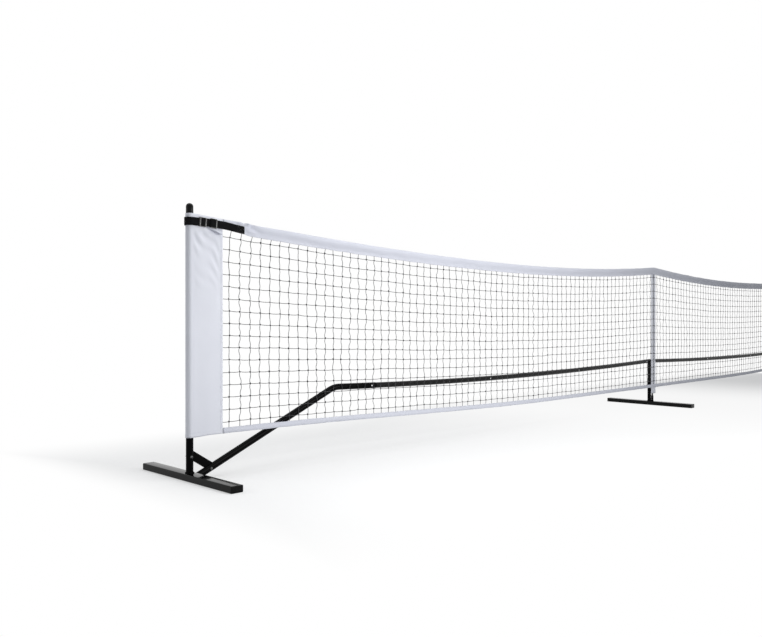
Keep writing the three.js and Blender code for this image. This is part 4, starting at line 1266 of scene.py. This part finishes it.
# the end of the top band laps over the panel: flat behind the strap, bunched out below it
lap = {"from": 0.060, "to": 0.119, "steps": 28, "high": 0.897, "lowStart": 0.869, "lowEnd": 0.8475,
       "turnUp": 0.0060, "turnFrom": 0.86, "bulge": 0.0125, "bulgeHeight": 0.012, "strapLow": 0.8748,
       "strapSlope": -0.075, "off": 0.0016, "fine": 0.0009, "inside": 0.011}
# the cloth turned up inside the bunched end, as shares of its bulge and of its height inside
lapInside = ((0.93, -0.05), (0.8, 0.02), (0.62, 0.3), (0.4, 0.65), (0.1, 1.0))


def bandLap(side):
    rings = []
    for k in range(lap["steps"] + 1):
        share, late = k / lap["steps"], 1 - lap["turnFrom"]
        s = lap["from"] + (lap["to"] - lap["from"]) * share
        under = lap["strapLow"] + lap["strapSlope"] * s
        low = lap["lowStart"] + (lap["lowEnd"] - lap["lowStart"]) * min(share / lap["turnFrom"], 1) ** 0.9
        low = min(low + lap["turnUp"] * max(share - lap["turnFrom"], 0) / late, under - 0.0004)
        tall = lap["bulge"] * min((under - low) / lap["bulgeHeight"], 1) * (1 - smoothStep(0.88, 1.0, share))
        profile = [(0, lap["high"] + (under - lap["high"]) * n / 5) for n in range(5)]
        for down in (n / 9 for n in range(10)):
            fine = lap["fine"] * rough(s * 60, down * 3, 3) * down
            profile.append((tall * math.sin(math.pi / 2 * down) ** 1.2 + fine, under + (low - under) * down))
        inside = min(lap["inside"], 0.7 * (under - low))
        profile += [(tall * out, low + inside * up) for out, up in lapInside]
        rings.append([Vector((s, -court["netAtSleeve"] - lap["off"] - out, z)) for out, z in profile])
    return sided(skin(rings, loopAround=False), side)


topShape = {"foldAtTop": True, "half": 0.0011, "roll": 0.0060, "rollHeight": 0.014, "rollMore": 0.0035,
            "depth": 0.0035, "twist": 0.0028, "edge": 0.0012, "pucker": 0.0012, "crease": 0.0022,
            "pull": 0.0085, "pullAt": (0.212, 0.878), "seed": 1.0,
            "fold": {"from": (0.232, 0.898), "to": (0.306, 0.850), "depth": 0.0048, "width": 0.0065}}
bottomShape = {"foldAtTop": False, "half": 0.0008, "roll": 0.0022, "rollHeight": 0.007, "rollMore": 0.0,
               "depth": 0.003, "twist": 0.0009, "edge": 0.0008, "pucker": 0.0005, "crease": 0.0006, "pull": 0.0,
               "pullAt": (0, 0), "seed": 4.0}
topBand, topStitches = foldedBand(
    "net_top_band", lambda s: topEdge(s) - net["topBand"] + bandLift(s), topEdge, topShape, "top_band",
    (0.005, 0.0085), [bandLap(side) for side in sides])
bottomBand, bottomStitches = foldedBand(
    "net_bottom_band", bottomEdge, lambda s: bottomEdge(s) + net["bottomBand"], bottomShape, "bottom_band",
    (0.0035,))
print("bands made")

# side sleeves

sleeve = {"radius": 0.0138, "cloth": 0.0008, "tipHalf": 0.0008, "tipInset": 0.0004, "seam": 0.009, "hem": 0.015,
          "hemEdge": 0.0012, "hemStep": 0.00045, "rows": 150, "ridge": 0.0007, "ridgeReach": 0.024,
          "ridgeWidth": 0.0022, "sag": 0.003}
# steps of the sleeve's plan along the front, round the post and along the rear, and how many of them are front
planSteps = {"front": 34, "round": 26, "rear": 24, "seenFront": 48}
sleeveStitches = {"side": (0.0045, 0.0085), "off": 0.0016, "ends": 0.006, "steps": 40, "hem": 0.0135,
                  "hemSteps": 32}
panelFolds = {"rate": 118, "lean": 0.95, "depth": 0.0029, "from": 0.045, "soft": 0.0011, "rear": 0.0012}


def sleevePlan():
    # plan points from the sewn edge, along the front, round the post and back along the rear
    radius, ends = sleeve["radius"], []
    for face in (-1, 1):
        tip = Vector((sleeveReach - sleeve["tipInset"], -court["netAtSleeve"] + face * sleeve["tipHalf"]))
        ends.append((tip, math.atan2(tip.y, tip.x) + face * math.acos(radius / tip.length)))
    (frontTip, frontTurn), (backTip, backTurn) = ends
    span = (backTurn - 2 * math.pi) - frontTurn
    count = planSteps["round"]
    arc = [Vector((radius * math.cos(turn), radius * math.sin(turn)))
           for turn in (frontTurn + span * k / count for k in range(count + 1))]
    front, rear = planSteps["front"], planSteps["rear"]
    return ([frontTip.lerp(arc[0], k / front) for k in range(front)] + arc
            + [arc[-1].lerp(backTip, k / rear) for k in range(1, rear + 1)])


def sleeveFold(x, z, front):
    # how far the cloth stands out of its plan at a place on the panel
    if front:
        # pulls that run down and away from the strap
        below = court["sleeveTop"] - panelFolds["from"] - z
        slant = (x * panelFolds["lean"] + z) * panelFolds["rate"]
        pull = smoothStep(-0.004, 0.030, below) * (1 - smoothStep(0.08, 0.24, below))
        pull *= panelFolds["depth"] * (0.6 + 1.1 * rough(x * 11, z * 9, 5))
        out = pull * math.sin(slant + 2.2 * rough(x * 20, z * 9, 2))
        out += panelFolds["soft"] * smoothStep(0.0, 0.08, below) * rough(x * 17, z * 5.5, 8)
    else:
        out = panelFolds["rear"] * rough(x * 17, z * 5.5, 18)
    flatEdge = 1 - smoothStep(sleeveReach - 0.03, sleeveReach - sleeve["seam"], x)
    return out * flatEdge * smoothStep(0.004, 0.022, x)


def makeSleeve(side):
    plan, rows, hem = sleevePlan(), sleeve["rows"], sleeve["hem"]
    twines = [netLevel(sleeveReach, j) for j in range(net["rows"])]
    ridgeFrom = sleeveReach - sleeve["ridgeReach"]
    outs = []
    for k, spot in enumerate(plan):
        run = (plan[min(k + 1, len(plan) - 1)] - plan[max(k - 1, 0)]).normalized()
        outward = Vector((-run.y, run.x))
        outs.append(-outward if outward.dot(spot - Vector((0.05, -0.008))) < 0 else outward)
    rings = []
    for level in (k / rows for k in range(rows + 1)):
        ring = []
        for k, (spot, outward) in enumerate(zip(plan, outs)):
            s, front = max(spot.x, 0), k < planSteps["seenFront"]
            bottom, top = bottomEdge(s) - sleeve["sag"] * (1 - smoothStep(0.01, 0.08, s)), topEdge(s)
            z = bottom + (top - bottom) * level
            inHem = 1 - smoothStep(hem - sleeve["hemEdge"], hem + sleeve["hemEdge"], min(z - bottom, top - z))
            offset = sleeveFold(spot.x, z, front) + sleeve["hemStep"] * inHem
            if spot.x > ridgeFrom and front:
                # the net's rows show through as low ridges
                gap = min(abs(z - twine) for twine in twines)
                offset += sleeve["ridge"] * smoothStep(ridgeFrom, sleeveReach - 0.012, spot.x) * math.exp(
                    -(gap / sleeve["ridgeWidth"]) ** 2)
            ring.append(Vector((spot.x + outward.x * offset, spot.y + outward.y * offset, z)))
        rings.append(ring)
    piece = makePiece("end_sleeve_" + side, skin(rings, loopAround=False), side, sharp=70, outward=False)
    thicken(piece, sleeve["cloth"])
    dress(piece, "cloth", "side_sleeve_" + side)
    lines, steps, ends = [], sleeveStitches["steps"], sleeveStitches["ends"]
    for x in (sleeveReach - inset for inset in sleeveStitches["side"]):
        for offset in (-sleeveStitches["off"], sleeveStitches["off"] + 0.0002):
            low, tall = bottomEdge(x) + ends, topEdge(x) - bottomEdge(x) - 2 * ends
            lines.append([Vector((x, -court["netAtSleeve"] + offset, low + tall * k / steps))
                          for k in range(steps + 1)])
    proud = sleeve["cloth"] / 2 + sleeve["hemStep"] + 0.0001
    for edge, inset in ((bottomEdge, sleeveStitches["hem"]), (topEdge, -sleeveStitches["hem"])):
        lines.append([Vector((spot.x, spot.y - proud, edge(max(spot.x, 0)) + inset))
                      for spot in plan[1:sleeveStitches["hemSteps"] + 2]])
    seams = stitchRows("end_sleeve_stitches_" + side, lines, side=side)
    reaches(plan, len(plan) - 1)[-1]


for side in sides:
    makeSleeve(side)
print("side sleeves made")

# centre sleeve

middle = {"width": 0.056, "seam": 0.008, "bottom": 0.074, "cloth": 0.0009, "radius": 0.0072, "rows": 120,
          "hem": 0.0003, "front": 0.0007, "rear": 0.0005, "edge": 0.0006, "stitchSteps": 40,
          "sideInset": 0.0006, "frontInset": 0.0005, "topInset": 0.0004, "flat": 0.0014}


def makeCentreSleeve():
    low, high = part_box("centre_sleeve")
    front, top, bottom = low.y + middle["frontInset"], high.z - middle["topInset"], middle["bottom"]
    half, flatBack = middle["width"] / 2 - middle["sideInset"], front + middle["flat"]
    radius = middle["radius"]
    tip = Vector((half - middle["seam"], flatBack - rodAxis))
    start = math.atan2(tip.y, tip.x) + math.acos(min(radius / tip.length, 1))
    span = math.pi - 2 * start
    plan = [Vector((-half + 2 * half * k / 18, front)) for k in range(19)]
    plan += [Vector((half - (half - tip.x) * k / 3, flatBack)) for k in range(4)]
    arc = [Vector((radius * math.cos(turn), rodAxis + radius * math.sin(turn)))
           for turn in (start + span * k / 16 for k in range(17))]
    plan += [plan[-1].lerp(arc[0], k / 5) for k in range(1, 5)] + arc
    left = Vector((-tip.x, flatBack))
    plan += [arc[-1].lerp(left, k / 5) for k in range(1, 6)]
    plan += [left.lerp(Vector((-half, flatBack)), k / 3) for k in range(1, 4)]
    rings = []
    for z in (bottom + (top - bottom) * row / middle["rows"] for row in range(middle["rows"] + 1)):
        hem = middle["hem"] * (1 - smoothStep(0.011, 0.013, min(z - bottom, top - z)))
        ring = []
        for x, y in plan:
            isFront = y < flatBack - 0.0005
            ripple = rough(x * 26, z * 11, 4 if isFront else 9)
            if isFront:
                shift = middle["front"] * ripple * (1 - abs(x) / half) - hem
            else:
                shift = middle["rear"] * ripple * (y > flatBack + 0.001) + hem
            edge = middle["edge"] * rough(z * 14, 2.0 if x > 0 else 6.0, 1) * (abs(x) / half) ** 4
            ring.append(Vector((x + edge, y + shift, z)))
        rings.append(ring)
    piece = makePiece("centre_strap", skin(rings), sharp=70)
    thicken(piece, middle["cloth"])
    dress(piece, "cloth", "centre_sleeve")
    out, steps = middle["cloth"] / 2 + 0.0001, middle["stitchSteps"]
    lines = [[Vector((sign * (half - 0.004), y, bottom + 0.004 + (top - bottom - 0.008) * k / steps))
              for k in range(steps + 1)] for sign in (-1, 1) for y in (front - out, flatBack + out)]
    lines.append([Vector((-half + 2 * half * k / 12, front - out - middle["hem"], bottom + 0.010))
                  for k in range(13)])
    stitches = stitchRows("centre_strap_stitches", lines)


makeCentreSleeve()
print("centre sleeve made")

# tension straps and their buckles

buckles = {"outer": {"at": 0.040, "cover": (-0.0090, 0.0090), "rise": 0.0022, "round": 0.5},
           "inner": {"at": 0.083, "cover": (-0.0155, 0.0088), "rise": 0.0034, "round": 0.4}}
# half sizes of a buckle, of the way through it and of its window, and where its bars stand
buckle = {"length": 0.014, "height": 0.0165, "corner": 0.0035, "way": 0.0150, "window": 0.0080, "bar": 0.0106,
          "barWidth": 0.0027, "barRise": 0.0024, "barBow": 0.0004,
          "barEnds": ((-1, 0.3), (-0.97, 0.75), (-0.92, 0.95), (-0.77, 1), (0.77, 1), (0.92, 0.95),
                      (0.97, 0.75), (1, 0.3))}
cover = {"off": 0.0019, "thickness": 0.0014, "narrower": 0.0006, "steps": 24}
cross = {"from": 0.0035, "to": 0.030, "edge": 0.0032, "steps": 10,
         "lines": ((0, 1), (1, 2), (2, 3), (3, 0), (0, 2), (1, 3))}


def webbing(path, width, thickness, heightAt):
    # a flat woven strip with rounded edges along plan points
    half, tall = thickness / 2, width / 2
    section = [(half * math.copysign(abs(math.cos(t)) ** 0.7, math.cos(t)),
                tall * math.copysign(abs(math.sin(t)) ** 0.16, math.sin(t))) for t in turns(24)]
    rings = []
    for k, spot in enumerate(path):
        run = (path[min(k + 1, len(path) - 1)] - path[max(k - 1, 0)]).normalized()
        rings.append([Vector((spot.x - run.y * aside, spot.y + run.x * aside, heightAt(spot.x) + level))
                      for aside, level in section])
    return skin(rings, capped=True)


def strapPath():
    half, cadSleeve, plane = strap["thickness"] / 2, strap["cadSleeve"], strap["plane"]
    sewn = -netPlane(strap["end"]) + court["bandThickness"] / 2 + fitGap + half
    tip = Vector((sleeveReach, 0.0012 - court["netAtSleeve"]))
    backTurn = math.atan2(tip.y, tip.x) + math.acos(cadSleeve / tip.length)
    backRadius = cadSleeve + strap["play"] + half
    midway, reach = (backRadius - plane) / 2, (backRadius + plane) / 2
    start, ramp = Vector((strap["end"], -sewn)), Vector((strap["ramp"], -plane))
    path = [start.lerp(ramp, k / 6) for k in range(6)]
    path += [ramp.lerp(Vector((0, -plane)), k / 22) for k in range(22)]
    for turn in (math.pi * step / 24 for step in range(25)):
        out = backRadius + strap["play"] + strap["slack"] * math.sin(turn) ** 2
        path.append(Vector((-out * math.sin(turn), midway - reach * math.cos(turn))))
    touch = Vector((backRadius * math.cos(backTurn), backRadius * math.sin(backTurn)))
    run = Vector((math.sin(backTurn), -math.cos(backTurn)))
    return path + [touch + run * strap["backRun"] * k / 8 for k in range(9)]


def buckleFrame():
    # a moulded frame with two glossy bars in front of the strap and a window between them
    channel, corner = strap["thickness"] / 2 + fitGap, buckle["corner"]
    slab = skin([[Vector((x, y, z)) for x, z in roundedOutline(
        buckle["length"] - inset, buckle["height"] - inset, corner - inset, 4)] for inset, y in (
            (0.0007, -channel - 0.0016), (0.0002, -channel - 0.0014), (0, -channel - 0.0009),
            (0, channel + 0.0006), (0.0006, channel + 0.0012))], capped=True)
    way, wide = buckle["way"], buckle["window"]
    holes = [boxPart((-0.03, -channel, -way), (0.03, channel, way)),
             boxPart((-wide, -0.02, -way), (wide, 0.0, way))]
    bars = []
    for x in (-buckle["bar"], buckle["bar"]):
        rings = []
        for share, size in buckle["barEnds"]:
            y = -channel - 0.0001 - buckle["barBow"] * math.cos(math.pi * share / 2)
            rings.append([Vector((x + buckle["barWidth"] * size * math.cos(t),
                                  y + min(buckle["barRise"] * size * math.sin(t), 0),
                                  share * (buckle["height"] - 0.0005))) for t in turns(20)])
        bars.append(skin(rings, capped=True))
    return slab, holes, bars


def crossLines():
    # a box with a cross in it, sewn through the strap's end
    thickness, proud = strap["thickness"], strap["proud"]
    front = netPlane(strap["end"]) - court["bandThickness"] / 2 - fitGap - thickness

    def onWeb(x, level):
        y = -strap["plane"] - thickness / 2 - proud
        if x > strap["ramp"]:
            y += (x - strap["ramp"]) / (strap["end"] - strap["ramp"]) * (front - proud - y)
        return Vector((x, y, strapHeight(x) + level))

    high, steps = strap["width"] / 2 - cross["edge"], cross["steps"]
    near, far = strap["end"] - cross["from"], strap["end"] - cross["to"]
    corners = [(near, -high), (near, high), (far, high), (far, -high)]
    lines = []
    for first, second in cross["lines"]:
        (x0, l0), (x1, l1) = corners[first], corners[second]
        lines.append([onWeb(x0 + (x1 - x0) * k / steps, l0 + (l1 - l0) * k / steps) for k in range(steps + 1)])
    return lines


def makeStraps(side):
    path = strapPath()
    piece = add("strap_web_" + side, webbing(path, strap["width"], strap["thickness"], strapHeight), side,
                "webbing", "tension_strap_" + side, sharp=60)
    stitches = stitchRows("strap_stitches_" + side, crossLines(), "blackThread", side)
    slab, holes, bars = buckleFrame()
    for name, values in buckles.items():
        node = f"strap_slider_{name}_{side}"
        place = (Matrix.Translation((values["at"], -strap["plane"], strapHeight(values["at"])))
                 @ Matrix.Rotation(-math.atan(strapSlope), 4, "Y"))
        holder = makePiece(f"buckle_{name}_{side}", moved(slab, place), side)
        for tools, operation in ((holes, "DIFFERENCE"), (bars, "UNION")):
            booleanWith(holder, [moved(tool, place) for tool in tools], side, operation)
        dress(holder, "buckle", node, body=node)
        low, high = values["cover"]
        line = [Vector((low + (high - low) * share,
                        -cover["off"] - values["rise"] * math.sin(math.pi * share) ** values["round"]))
                for share in (k / cover["steps"] for k in range(cover["steps"] + 1))]
        tongue = webbing(line, strap["width"] - cover["narrower"], cover["thickness"], lambda x: 0.0)
        add(f"buckle_web_{name}_{side}", moved(tongue, place), side, "webbing", body=node, sharp=60)


for side in sides:
    makeStraps(side)
bpy.data.objects.remove(stitchShape)
print("straps made")

# floor, light and camera

studio = {
    "floorTone": 0.62, "floorSize": 60, "floorGlow": 0.405, "skyDiffuse": 0.29, "skyTint": (0.94, 0.97, 1.0),
    # each fade of the floor into white: from, to and how white
    "aside": (0.40, 1.15, 1.0), "inward": (0.8, 2.8, 0.8), "beyond": (0.02, 0.30, 1.0),
}
# each softbox: where it hangs, what it faces, its width in metres and its power in watts
lamps = {
    "key": {"place": (-1.5, -1.9, 1.0), "aim": (-1.5, 0, 0.7), "size": 0.9, "power": 21.5},
    "side": {"place": (-2.8, -1.35, 0.8), "aim": (-3.35, 0, 0.5), "size": 0.6, "power": 6.5},
    "overhead": {"place": (-2.4, -0.2, 2.9), "aim": (-2.6, -0.1, 0), "size": 2.2, "power": 30},
    "rim": {"place": (-4.7, 0.9, 0.9), "aim": (-3.35, 0, 0.5), "size": 0.7, "power": 5},
}
view = {"place": (-4.7908, -2.3780, 0.5555), "turn": (89.964, 0.0, -44.806), "lens": 37.24, "sensor": 36,
        "clip": (0.05, 200)}


def seenRays(tree, *kinds):
    # 1 for the rays that show a surface, 0 for those that light others
    rays = addNode(tree, "ShaderNodeLightPath")
    seen = rays.outputs["Is Camera Ray"]
    for kind in kinds:
        seen = mathNode(tree, "MAXIMUM", seen, rays.outputs[kind])
    return seen


def rampOver(tree, value, fade):
    # 0 below the fade's start, rising smoothly to its top
    low, high, top = fade
    return addNode(tree, "ShaderNodeMapRange", interpolation_type="SMOOTHSTEP", From_Min=low, From_Max=high,
                   To_Min=0.0, To_Max=top, Value=value).outputs[0]


def mixShaders(tree, share, first, second, output):
    mix = addNode(tree, "ShaderNodeMixShader")
    for source, socket in zip((share, first.outputs[0], second.outputs[0]), mix.inputs):
        tree.links.new(source, socket)
    feed(tree, tree.nodes[output], Surface=mix.outputs[0])


def makeFloor():
    # a pale floor with soft shade under the net, which fades into the white around it
    mesh = bpy.data.meshes.new("studioFloor")
    size = studio["floorSize"] / 2
    corners = [(x * size, y * size, 0) for x, y in ((-1, -1), (1, -1), (1, 1), (-1, 1))]
    mesh.from_pydata(corners, [], [(0, 1, 2, 3)])
    floor = newObject("studioFloor", mesh)
    material, tree, shader = newMaterial("floorPaint", (studio["floorTone"],) * 3, 0.6, Specular_IOR_Level=0.0,
                                         Emission_Color=(1, 1, 1, 1))
    seen = seenRays(tree, "Is Glossy Ray")
    feed(tree, shader, Emission_Strength=mathNode(tree, "MULTIPLY", seen, studio["floorGlow"]))
    x, y, _ = separate(tree, addNode(tree, "ShaderNodeTexCoord").outputs["Object"])
    beyond = mathNode(tree, "SUBTRACT", mathNode(tree, "ABSOLUTE", x), halfSpan)
    fade = rampOver(tree, mathNode(tree, "ABSOLUTE", y), studio["aside"])
    for value, name in ((mathNode(tree, "MULTIPLY", beyond, -1), "inward"), (beyond, "beyond")):
        fade = mathNode(tree, "MAXIMUM", fade, rampOver(tree, value, studio[name]))
    mixShaders(tree, mathNode(tree, "MULTIPLY", fade, seen), shader, addNode(tree, "ShaderNodeEmission"),
               "Material Output")
    mesh.materials.append(material)


def makeSky():
    # white to the eye and in reflections, softer as a light
    world = bpy.data.worlds.new("studioWorld")
    bpy.context.scene.world = world
    world.use_nodes = True
    tree = world.node_tree
    back = feed(tree, tree.nodes["Background"], Color=(*studio["skyTint"], 1), Strength=studio["skyDiffuse"])
    white = addNode(tree, "ShaderNodeBackground", Color=(1, 1, 1, 1), Strength=1.0)
    mixShaders(tree, seenRays(tree, "Is Glossy Ray", "Is Transmission Ray"), back, white, "World Output")


def makeLamps():
    for name, values in lamps.items():
        lamp = bpy.data.lights.new(name + "Softbox", "AREA")
        lamp.energy, lamp.size = values["power"], values["size"]
        holder = newObject(name + "Softbox", lamp)
        holder.visible_camera = False
        place, aim = Vector(values["place"]), Vector(values["aim"])
        holder.location = place
        holder.rotation_euler = (aim - place).to_track_quat("-Z", "Y").to_euler()


def makeCamera():
    lens = bpy.data.cameras.new("camera")
    lens.lens, lens.sensor_width = view["lens"], view["sensor"]
    lens.clip_start, lens.clip_end = view["clip"]
    camera = newObject("camera", lens)
    camera.location = view["place"]
    camera.rotation_euler = [math.radians(angle) for angle in view["turn"]]
    bpy.context.scene.camera = camera


makeFloor()
makeSky()
makeLamps()
makeCamera()
bpy.context.scene.view_settings.view_transform = "Standard"

print("scene ready")
